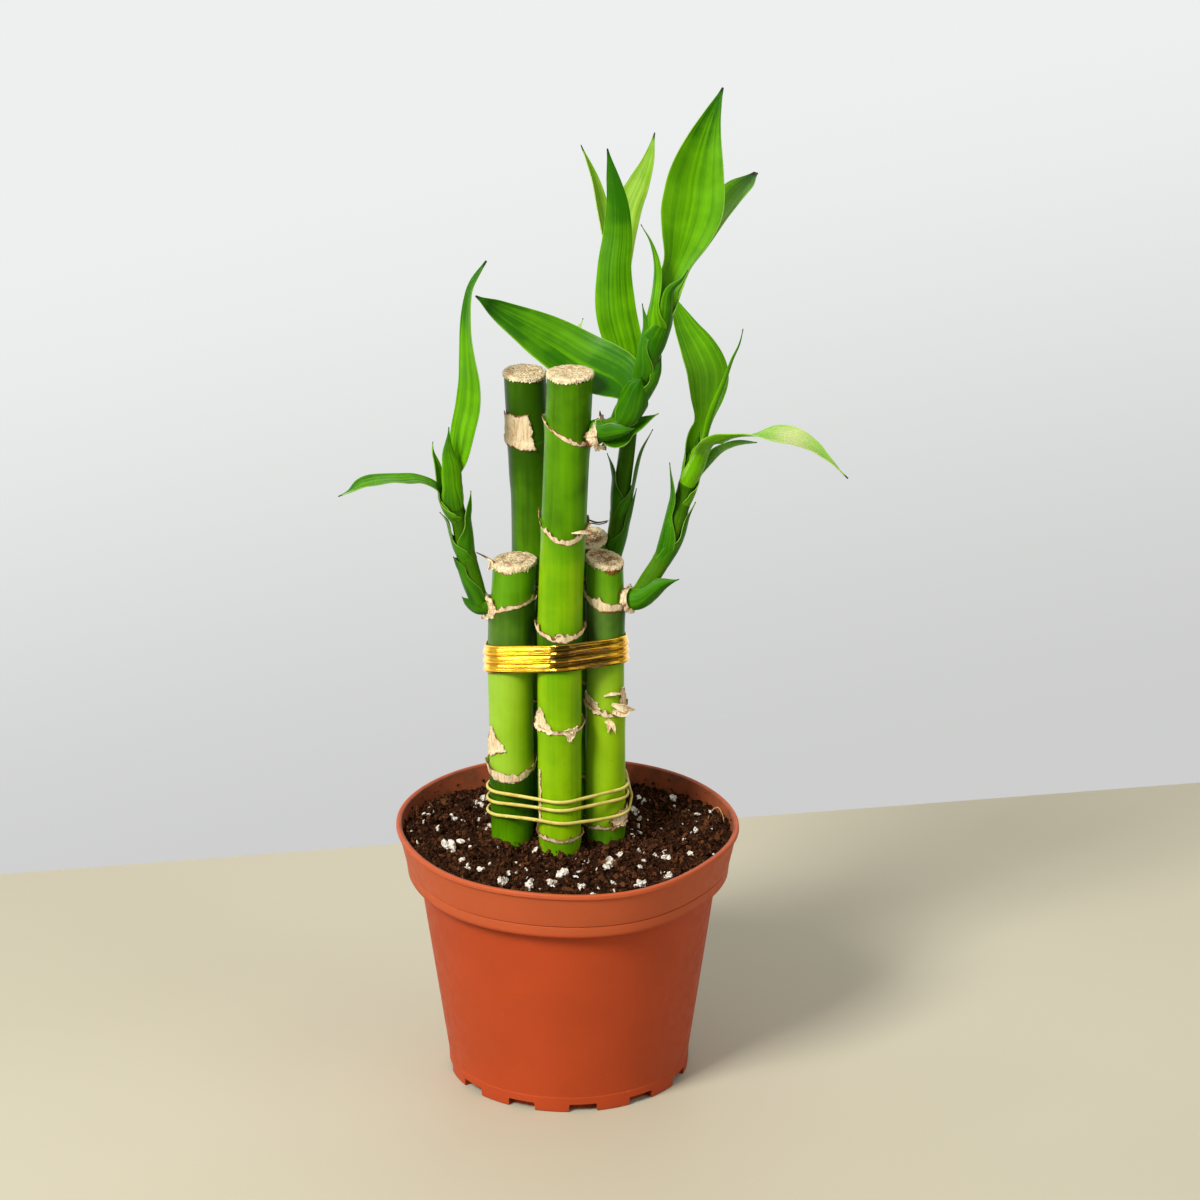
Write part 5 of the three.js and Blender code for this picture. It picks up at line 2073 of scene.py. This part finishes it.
@dataclass(frozen=True)
class Studio:
    """The camera, the pale table, the soft light and the grey surroundings."""

    eye: Point = (9.8, -1827.1, 894.7)
    pitch: float = 22
    lens: float = 192.66
    table_left: Point = (-192, 141, 0)
    table_right: Point = (218, 218, 0)
    table_size: tuple[float, float] = (1600, 540)
    table_colour: str = "bbb49c"
    table_shade: str = "b5ad94"
    key_spot: Point = (-990, -1150, 1430)
    key_size: float = 600
    key_power: float = 50
    fill_spot: Point = (1300, -700, 900)
    fill_size: float = 1000
    fill_power: float = 4
    aim_height: float = 120
    white: tuple[float, ...] = (1, 1, 1, 1)
    wall_low: str = "cdcecd"
    wall_high: str = "eef0ef"
    fill: float = 0.6
    side_glare: float = 0.65
    back_glare: float = 1.0
    window: Point = (-0.806, -0.574, 0.142)
    window_glare: float = 22

    def build(self) -> None:
        """Sets up everything round the plant."""
        self._camera()
        self._table()
        self._light()
        self._air()
        bpy.context.scene.view_settings.view_transform = "Standard"

    def _camera(self) -> None:
        """The camera, in front and a little above."""
        bpy.ops.object.camera_add(
            location=tuple(c * MM for c in self.eye), rotation=(math.radians(90 - self.pitch), 0, 0))
        camera = named("camera")
        camera.data.lens = self.lens
        camera.data.sensor_width = 36
        camera.data.clip_end = 20
        bpy.context.scene.camera = camera

    def _table(self) -> None:
        """A pale table top with a straight far edge."""
        left, right = np.array(self.table_left), np.array(self.table_right)
        run = unit(right - left)
        back = np.cross((0, 0, 1), run)
        width, depth = self.table_size
        table, across, along_it = flat_sheet("table_top", 8, 8)
        points = (left + right) / 2 + run * (across * width / 2)[:, None]
        write_points(table, (points + back * ((along_it - 1) * depth)[:, None]) * MM)
        r = Recipe("table_paint")
        r.colour = r.mix(r.step(r.noise(r.place(), 3), 0.3, 0.7), self.table_colour, self.table_shade)
        grain = r.noise(r.place(), 900, 2)
        table.data.materials.append(r.done(Roughness=0.6, Normal=r.bump(grain, 0.1, 0.05)))

    def _light(self) -> None:
        """One large soft lamp at the upper left, and a weak one at the right."""
        for name, spot, size, power in (
            ("key_lamp", self.key_spot, self.key_size, self.key_power),
            ("fill_lamp", self.fill_spot, self.fill_size, self.fill_power),
        ):
            bpy.ops.object.light_add(type="AREA", location=tuple(c * MM for c in spot))
            lamp = named(name)
            lamp.data.size = size * MM
            lamp.data.energy = power
            aim = Vector((0, 0, self.aim_height * MM)) - lamp.location
            lamp.rotation_euler = aim.to_track_quat("-Z", "Y").to_euler()

    def _air(self) -> None:
        """Grey surroundings: a wall for the camera, a dim room for reflections, and a soft fill."""
        world = bpy.data.worlds.new("surroundings")
        bpy.context.scene.world = world
        world.use_nodes = True
        r = Nodes(world.node_tree)
        spot = r.node("ShaderNodeTexCoord", {}, "Generated")
        x, y, z = r.split(spot)
        slant = r.maths("SUBTRACT", z, r.times(x, 0.2))
        wall = r.mix(r.step(slant, -0.41, -0.3), self.wall_low, self.wall_high)
        facing = r.node("ShaderNodeVectorMath", {0: spot, 1: self.window}, "Value", operation="DOT_PRODUCT")
        sheen = r.plus(
            r.step(z, -0.1, 0.9, 0.1, 0.4),
            r.step(x, -0.3, -0.8, 0, self.side_glare),
            r.step(y, 0.1, 0.6, 0, self.back_glare),
            r.step(facing, 0.991, 0.998, 0, self.window_glare),
        )
        seen = r.node("ShaderNodeBackground", {0: wall})
        room = r.node("ShaderNodeBackground", {0: self.white, 1: sheen})
        glow = r.node("ShaderNodeBackground", {0: self.white, 1: r.step(z, -1, 1, 0.1, self.fill)})
        rays = r.node("ShaderNodeLightPath", {}).node.outputs
        unseen = r.node("ShaderNodeMixShader", {0: rays["Is Glossy Ray"], 1: glow, 2: room})
        both = r.node("ShaderNodeMixShader", {0: rays["Is Camera Ray"], 1: unseen, 2: seen})
        r.feed(r.tree.nodes["World Output"].inputs[0], both)


# --- The plant ---

BURIED = 18  # the height of the canes' lower ends, under the peat

CANES = {
    "left": Cane(
        "cane_left", "stalk_front_left",
        ((-17.5, 0.5, BURIED), (-17.5, 0.6, 90), (-17.8, 0.8, 135), (-17, 0.9, 156), (-16.4, 1, 169.3)),
        ((18, 6.5), (78, 6.5), (94, 6.9), (110, 6.8), (130, 7.0), (150, 7.2), (156, 7.0), (159, 6.7),
         (168, 6.6)),
        (Ring(52, rag=0), Ring(99.6, 2.2, 0.3, 3.3, 0.12), Ring(156.6, -0.8, 2.2, 1.5)),
        ((70, 0.5), (80, 0.4), (88, 0.12), (99.4, 0.05), (99.8, 0.85), (120, 0.9), (136, 0.8), (142, 0.2),
         (156.4, 0.1), (156.8, 0.42), (168, 0.36)),
        SawnTop((0.07, 0.02), 1.5, 1.0, -120, 0.6),
        ((99, 0), (100, 0.5), (135, 0.6), (157, 0.1)),
    ),
    "middle": Cane(
        "cane_middle", "stalk_front_tall",
        ((-2.5, -7.5, BURIED), (-2.6, -7.3, 140), (-1.2, -6.5, 185), (0.8, -5.5, 232.7)),
        ((18, 6.2), (76, 6.2), (90, 6.7), (130, 6.8), (150, 6.85), (200, 6.95), (231, 7.05)),
        (Ring(48, rag=0), Ring(81.8, 0.5, -0.3, 1.3), Ring(118, 1.2, -0.3, 1.6),
         Ring(149.3, 1.7, -0.4, 2.2, 0.5), Ring(181, 4.2, -0.9, 2.0, 0.5), Ring(213.8, 1.2, -3.3, 1.5)),
        ((70, 0.75), (81.6, 0.6), (82, 0.8), (100, 0.75), (117.8, 0.65), (118.2, 0.72), (136, 0.74),
         (142, 0.2), (149.1, 0.08), (149.5, 0.66), (165, 0.72), (180.8, 0.45), (181.2, 0.36), (196, 0.3),
         (213.6, 0.38), (214, 0.3), (231, 0.26)),
        SawnTop((0.02, -0.02), 1.1, 0.7, -110, 0.3),
    ),
    "right": Cane(
        "cane_right", "stalk_front_right",
        ((11.5, 0.8, BURIED), (11.5, 1, 110), (11.5, 1, 140), (11.3, 1, 169.8)),
        ((18, 6.0), (76, 6.0), (90, 6.2), (117, 6.1), (124, 5.8), (135, 5.75), (148, 6.0), (154, 6.1),
         (158, 5.8), (168, 5.6)),
        (Ring(47, rag=0), Ring(82.3, 0.1, 0.6, 1.2), Ring(120.5, 2.2, -1.4, 1.6, 0.6),
         Ring(156.2, 1.2, -1.8, 3.4, 0.2)),
        ((70, 0.35), (82.1, 0.4), (82.5, 0.84), (100, 0.92), (120.3, 0.9), (120.7, 0.95), (134, 0.8),
         (143, 0.25), (156, 0.08), (156.4, 0.6), (168, 0.5)),
        SawnTop((-0.19, 0.12), 1.4, 0.9, -70, 1.0),
        ((120, 0.2), (121, 0.5), (140, 0.7), (154, 0.7), (156, 0.3), (168, 0.2)),
    ),
    "rear_right": Cane(
        "cane_rear_right", "stalk_rear_right",
        ((6, 13.5, BURIED), (6, 13.5, 110), (5.8, 13.2, 172)),
        ((18, 6.2), (172, 6.0)),
        (Ring(58, rag=0), Ring(94, 2), Ring(126, 2), Ring(161, 1, 1, 1.4)),
        ((70, 0.4), (93.8, 0.3), (94.2, 0.5), (125.8, 0.3), (126.2, 0.5), (160.8, 0.2), (161.2, 0.3)),
        SawnTop((0.06, 0.2), 1.3, 0.6, -80, 1.0),
    ),
    "rear": Cane(
        "cane_rear", "stalk_rear_tall",
        ((-10.5, 13.8, BURIED), (-10.6, 13.8, 165), (-11.6, 13.8, 195), (-13.2, 13.5, 226)),
        ((18, 6.8), (165, 6.8), (225, 6.4)),
        (Ring(48, rag=0), Ring(84, 2), Ring(120, 2), Ring(158, 1.5), Ring(205, 1, rag=0)),
        ((70, 0.4), (119.8, 0.3), (120.2, 0.5), (157.8, 0.3), (158.2, 0.34), (195, 0.16), (204.8, 0.08),
         (205.2, 0.02), (225, 0.06)),
        SawnTop((0.0, 0.03), 1.0, 0.5, -60, 0.4),
    ),
}

LEFT_LEAVES = (
    Leaf("left_scale", (0.05, 0.12), 200, 5, BRACT, 100, ((-32.5, -1, 158),), wrap=200),
    Leaf("left_husk", (0.12, 0.36), 190, 8, BRACT, 150, ((-35, -3, 172),), wrap=260),
    Leaf("left_bract_low", (0.42, 0.6), 185, 4.5, BRACT, 60, ((-37, -4, 184), (-39, -4, 187))),
    Leaf("left_bract_high", (0.48, 0.7), -15, 5.5, BRACT, 80, ((-29.5, -4, 188), (-29.5, -4, 194))),
    Blade("left_leaf_reaching", (0.7, 0.88), 180, 9.6, LATE, 30,
        ((-40, -6, 196), (-45, -8, 199), (-50, -11, 200), (-55, -14, 201), (-61, -17, 201),
         (-65, -20, 200), (-69, -22, 199)), (0, 20, 40, 40), wrap=250, wave=0.8),
    Blade("left_leaf_side", (0.74, 0.93), 150, 4.6, BRACT, 70,
        ((-40, -1, 201), (-41, 0, 205), (-41, 1, 208))),
    Blade("left_leaf_young", (0.8, 0.97), -70, 7, BRACT, 90,
        ((-35, -7.5, 203), (-36, -7, 208), (-36, -5, 215))),
    Blade("left_leaf_twisted", (0.84, 1), 60, 8.5, LOW, 30,
        ((-33, -3, 205), (-31.5, -2, 213), (-30, -1, 220), (-29.5, 0, 227), (-30, 2, 234),
         (-30.5, 4, 243), (-30, 6, 252), (-28.5, 8, 257), (-24.5, 10, 263)),
        (0, 0, 0, -12, -28, -30, -25), wrap=250, light=(0.2, 0.2, 0.2, 0, -0.5), wave=0.5),
)

RIGHT_LEAVES = (
    Leaf("right_husk", (0.03, 0.14), -60, 7, BRACT, 110, ((28.5, -3.5, 162.5), (34, -4, 165)), wrap=250),
    Leaf("right_bract_inner", (0.34, 0.58), 190, 6, BRACT, 80, ((31.5, 0, 192), (31, -1, 202)), wrap=250),
    Leaf("right_bract_outer", (0.32, 0.47), -10, 5, BRACT, 80, ((37, 2, 183), (39, 2, 188))),
    Blade("right_leaf_small", (0.62, 0.78), 30, 4.2, LOW, 40,
        ((45, 9, 201), (49, 13, 202), (53, 16, 202), (58, 19, 201)), (0, 30)),
    Blade("right_leaf_arching", (0.72, 0.92), -40, 9.3, PINCHED, 35,
        ((44, -3, 209), (48, -4, 211), (52, -5, 212), (57, -7, 213), (63, -9, 214), (69, -12, 214),
         (74, -14, 212), (77, -16, 210), (80, -18, 208), (84.5, -20, 204)), (0, -40, -10, 30, 30, 0, 0),
        wrap=250, light=(0.6, 0.7, 0.6, 0.6, 1.2, 1.4, 1.3, 1.2), wave=0.7),
    Blade("right_leaf_broad", (0.76, 0.96), 110, 14.2, LANCE, 35,
        ((41, 8, 212), (42, 10, 219), (42, 13, 226), (39.5, 16, 232), (36, 19, 238), (33, 22, 244),
         (30.5, 25, 249)), light=(0.3, 0.4, 0.3, 0.2, 0), wave=0.6, flare=0.4),
    Blade("right_leaf_rolled", (0.86, 1), -10, 5.6, ROLLED, 170,
        ((45, 3, 218), (48, 3, 227), (50, 2, 234), (52, 2, 239), (53, 2, 244)), wrap=250, flare=0.3,
        light=(0.2, 0.1)),
)

CROWN_LEAVES = (
    Leaf("crown_husk_low", (0.03, 0.12), -70, 8, BRACT, 120, ((17, -13.5, 216.5), (20.5, -14, 218)),
        wrap=220, flare=0.3),
    Leaf("crown_scale", (0.1, 0.2), 10, 4.6, BRACT, 90, ((24, -8, 218.5), (27.5, -8, 220.5)), wrap=190,
        flare=0.3),
    Blade("crown_leaf_wide", (0.18, 0.32), 110, 20, TONGUE, 40,
        ((15, 0, 228), (10, 4, 229.5), (4, 8, 231), (-3.5, 11, 235), (-11.5, 13, 239.5), (-19, 14, 244),
         (-28, 15, 250)), light=(-0.8, -0.45, -0.2, -0.1, -0.4), wave=0.8),
    Leaf("crown_husk_front", (0.2, 0.42), -110, 10, BRACT, 190, ((22.3, -13.4, 234),), wrap=280,
        flare=1.2),
    Leaf("crown_husk_right", (0.32, 0.52), -10, 9, BRACT, 160, ((28.2, -9, 239.5),), wrap=270, flare=1.1),
    Leaf("crown_husk_left", (0.48, 0.7), 190, 7, BRACT, 110, ((23, -9, 249), (22.5, -9, 256)), wrap=260),
    Blade("crown_leaf_rolled", (0.62, 0.88), -60, 5.4, BRACT, 130,
        ((31, -13, 261), (34, -13, 264.5), (36, -13, 268)), wrap=260, flare=0.25,
        light=(-0.5, -0.3, -0.2)),
    Blade("crown_leaf_narrow", (0.74, 0.94), 210, 4.8, BRACT, 80,
        ((26.5, -9, 267), (25, -9, 275), (22, -9, 281)), wrap=250),
    Blade("crown_leaf_behind", (0.8, 0.95), 30, 12.5, BLUNT, 30,
        ((35, 0, 263), (39.5, 5, 269), (45, 10, 277), (50.5, 14, 283), (54.5, 17, 286), (57, 19, 288)),
        (0, 10, 10), light=(0.5, 0.8, 0.95, 0.8, 0)),
    Blade("crown_leaf_top", (0.86, 1), 90, 18.8, LANCE, 35,
        ((33, -3, 267), (35.5, -1, 275), (37.5, 1, 284), (38.5, 3, 292), (40.5, 5, 301), (43, 7, 309),
         (46.5, 9, 318)), light=(-0.1, 0.1, 0.1, 0, -0.5), wave=0.6),
)

REAR_LEAVES = (
    Leaf("rear_bract_low", (0.1, 0.26), -20, 4.5, BRACT, 80, ((19.5, 14, 180), (21, 13.5, 188))),
    Leaf("rear_bract_right", (0.3, 0.46), -5, 5, BRACT, 80, ((22.5, 16, 198.5), (26, 16, 206.5))),
    Leaf("rear_bract_left", (0.32, 0.48), 190, 4.5, BRACT, 80, ((13, 15, 195.5), (12, 15, 199))),
    Blade("rear_leaf_upright", (0.76, 0.9), -100, 12.5, LOW, 35,
        ((17.5, 15.5, 231), (14.5, 17, 244), (14, 19, 257), (15, 21, 267), (15, 22, 277), (13.5, 23, 286),
         (12, 24, 294)), light=(0.1, 0, -0.05, -0.25, -0.6), wave=0.4),
    Leaf("rear_leaf_pale_left", (0.78, 0.92), 160, 6, LATE, 50,
        ((14.5, 22, 236), (13, 28, 251), (12, 33, 262), (10, 36, 272), (8, 38, 280), (4, 40, 290)),
        (0, -20, -25), finish=Finish.PALE),
    Blade("rear_leaf_sliver", (0.82, 0.96), 0, 5, BRACT, 90,
        ((21.4, 18, 237), (19.6, 19, 247), (18.8, 20, 257), (18.2, 21, 267))),
    Leaf("rear_leaf_pale_right", (0.86, 1), 70, 9.5, LATE, 40,
        ((18, 24, 236), (16.3, 30, 250), (16.8, 35, 261), (18.8, 39, 270), (21.8, 41, 277),
         (24.6, 43, 284), (26.5, 46, 292)), finish=Finish.PALE),
)

BACK_LEAVES = (
    Blade("back_leaf_reaching", (0.5, 0.8), 110, 6, LANCE, 60,
        ((-4, 37, 225), (-6.5, 46, 226), (-9.5, 54, 220))),
    Leaf("back_leaf_side", (0.6, 0.9), 200, 5, BRACT, 90, ((-3, 26, 231), (-2, 27, 236))),
    Blade("back_leaf_upright", (0.7, 1), 30, 7, BRACT, 90,
        ((2.2, 31, 230.5), (3.6, 32.5, 233.5), (4.6, 33, 236.5)), light=(0.3, 1, 1.6, 1.6)),
)

SHOOTS = (
    Shoot(
        "stem_left", "shoot_left",
        ((-22.5, 0, 154.5), (-27, 0, 156.5), (-29, -1, 163.5), (-31.5, -2, 175), (-33, -3, 184),
         (-35, -4, 192), (-36, -4, 198)),
        (3, 2.4),
        LEFT_LEAVES,
    ),
    Shoot(
        "stem_right", "shoot_right",
        ((16, 1, 155.5), (21.5, 0, 158), (25, 0, 163.5), (30, 1, 172), (33.5, 2, 182.5), (36, 3, 192.5),
         (39, 4, 203), (40, 4, 210)),
        (3, 2.3),
        RIGHT_LEAVES,
    ),
    Shoot(
        "stem_crown", "shoot_crown",
        ((7, -6, 212.5), (10, -7, 214.5), (13, -8, 215.5), (16.5, -8, 218), (20, -8, 224),
         (23.5, -9, 234.5), (26.5, -9, 246), (28.5, -9, 254), (30, -9, 260)),
        (3.4, 2.6),
        CROWN_LEAVES,
    ),
    Shoot(
        "stem_rear", "shoot_rear",
        ((10, 13, 160.5), (13, 14, 164), (14.5, 15, 170.5), (16.5, 15, 187), (18.5, 16, 203.5),
         (19.5, 17, 215.5), (19.5, 18, 225)),
        (2.8, 2.3),
        REAR_LEAVES,
    ),
    Shoot(
        "stem_back", "shoot_back",
        ((-10.5, 15, 208.5), (-7, 21, 206), (-3.5, 24, 209), (-2, 26, 217), (-1, 27, 226.5)),
        (2.8, 2),
        BACK_LEAVES,
    ),
)

TUFTS = (
    Tuft("tuft_left", (-25.2, -1, 155), (-0.85, -0.45, 0), 3.3, 2, 12, 2.3),
    Tuft("tuft_right", (18.7, -0.8, 157.4), (0.85, -0.45, 0.2), 3.2, 1.9, 12, 2.2),
    Tuft("tuft_crown", (9.8, -7.6, 214), (0.9, -0.42, 0.1), 4, 2.5, 14, 2.4),
    Tuft("tuft_rear", (11.4, 13, 161.5), (0.8, 0.2, 0.4), 3.0, 2, 12, 2.2),
    Tuft("tuft_back", (-9, 18.9, 207), (0.4, 0.9, 0), 3.0, 2, 12, 2.4),
    Tuft("tuft_bud", (-2.4, -13.8, 149.6), (0, -1, 0.2), 0.7, 1.2, 6, 1.3),
)

TWIGS = (
    ("left_twig", ((-28, -1, 172.6), (-25.4, -1, 171.2), (-22.6, -1, 169.3)), (0.16, 0.3, 0.45)),
    ("strand_upper", ((3, 10, 179.6), (6, 9.6, 179.2), (9, 9.8, 178.2), (12.4, 10, 178.7)),
     (0.3, 0.28, 0.2)),
    ("strand_lower", ((3, 9.6, 177), (6.6, 9, 178.3), (9.6, 9.6, 177.7), (12, 10, 178.2)),
     (0.26, 0.2, 0.18)),
)

CURLS = (
    ("left_curl", ((-23.8, -1.5, 167.2), (-23.6, -1.5, 169.4), (-25, -1.2, 171)), (2.2, 1.6, 0.3),
     (0.3, -1, 0)),
    ("middle_curl", ((1.2, -13.4, 183.7), (4.2, -12.8, 183.6), (7.2, -9.4, 182.2)), (0.6, 1.7, 0.3),
     (0, -0.4, 1)),
    ("right_curl", ((11, -5.1, 126.6), (13.6, -5.1, 127.2), (16.4, -3.2, 126.6)), (0.6, 1.5, 0.3),
     (0, -0.4, 1)),
    ("right_fray_high", ((13.4, -5.2, 124), (16.6, -4.8, 122.6), (20.6, -2.6, 121)), (1, 3, 0.5),
     (0.2, -1, 0.3)),
    ("right_fray_middle", ((13.6, -5.0, 121.4), (17, -4.6, 120.6), (20, -3.2, 122)), (1.6, 2.2, 0.3),
     (0.2, -1, 0.3)),
    ("right_fray_low", ((11.6, -5.2, 118.6), (13.8, -5.6, 117), (14.6, -5.4, 114.2)), (1.8, 1.8, 0.2),
     (0.2, -1, 0.3)),
    ("right_fray_end", ((11.8, -5.2, 118.4), (12.6, -5.6, 116.4), (12.2, -5.8, 114.6)), (0.8, 1.2, 0.2),
     (0.2, -1, 0.3)),
)

SCRAPS = (
    ("rear", "rear_patch", ((-87, 213.6), (6, 214.5), (17, 202.8), (-87, 203.8)), 0.3, 0.4, 0.95),
    ("left", "left_patch", ((-60, 116.1), (-54, 115.6), (-12, 108.9), (-89, 104.3)), 0.3, 0.5, 0.7),
    ("middle", "middle_flap", ((-57, 125.5), (-50, 125.2), (-14, 118), (-84, 118.6)), 0.6, 0.6, 0.6),
    ("middle", "middle_drop", ((8, 119.2), (48, 119.6), (30, 115.2), (23, 115.4)), 0.5, 0.4, 0.7),
    ("middle", "middle_streak", ((-62, 104.5), (-55, 104.5), (-54, 86.9), (-64, 86.9)), 0.2, 0.4, 0.9),
    ("right", "right_fibres", ((18, 87), (84, 88.5), (80, 82.4), (15, 82.2)), 0.5, 0.9, 1.0),
    ("right", "right_flap", ((52, 128.6), (66, 128.2), (84, 121), (34, 120.6)), 0.5, 0.5, 0.8),
    ("right", "right_scrap", ((-72, 126.6), (-22, 124.0), (-14, 120.4), (-74, 122.8)), 0.5, 0.7, 0.5),
)


def tear_scraps() -> None:
    """Lays the torn scraps, curls and bare strands of dry sheath on the canes."""
    for cane, name, corners, lift, torn, brown in SCRAPS:
        CANES[cane].scrap(name, corners, lift, torn, brown)
    for name, path, radii in TWIGS:
        keep(thread(name, path, radii), Finish.TWIG, angle=80)
    for name, path, widths, face in CURLS:
        curl = strip(name, path, widths, face, (0, 25), 110, 0.18, (8, 24))
        note(curl, "edge", 0.9 * np.linspace(0, 1, len(curl.data.vertices)) % 1)
        keep(curl, Finish.PAPER, angle=60)


def main() -> None:
    """Builds the studio and the plant, piece by piece."""
    logging.basicConfig(level=logging.INFO, format="%(message)s")
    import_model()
    deselect()
    Studio().build()
    pot = NurseryPot()
    pot.build()
    canes = list(CANES.values())
    PottingMix(pot, canes).build()
    for cane in canes:
        cane.build()
    tear_scraps()
    for tuft in TUFTS:
        tuft.build()
    for shoot in SHOOTS:
        shoot.build()
    GoldTie(canes).build()
    RubberBand(canes).build()


if __name__ == "__main__":
    main()
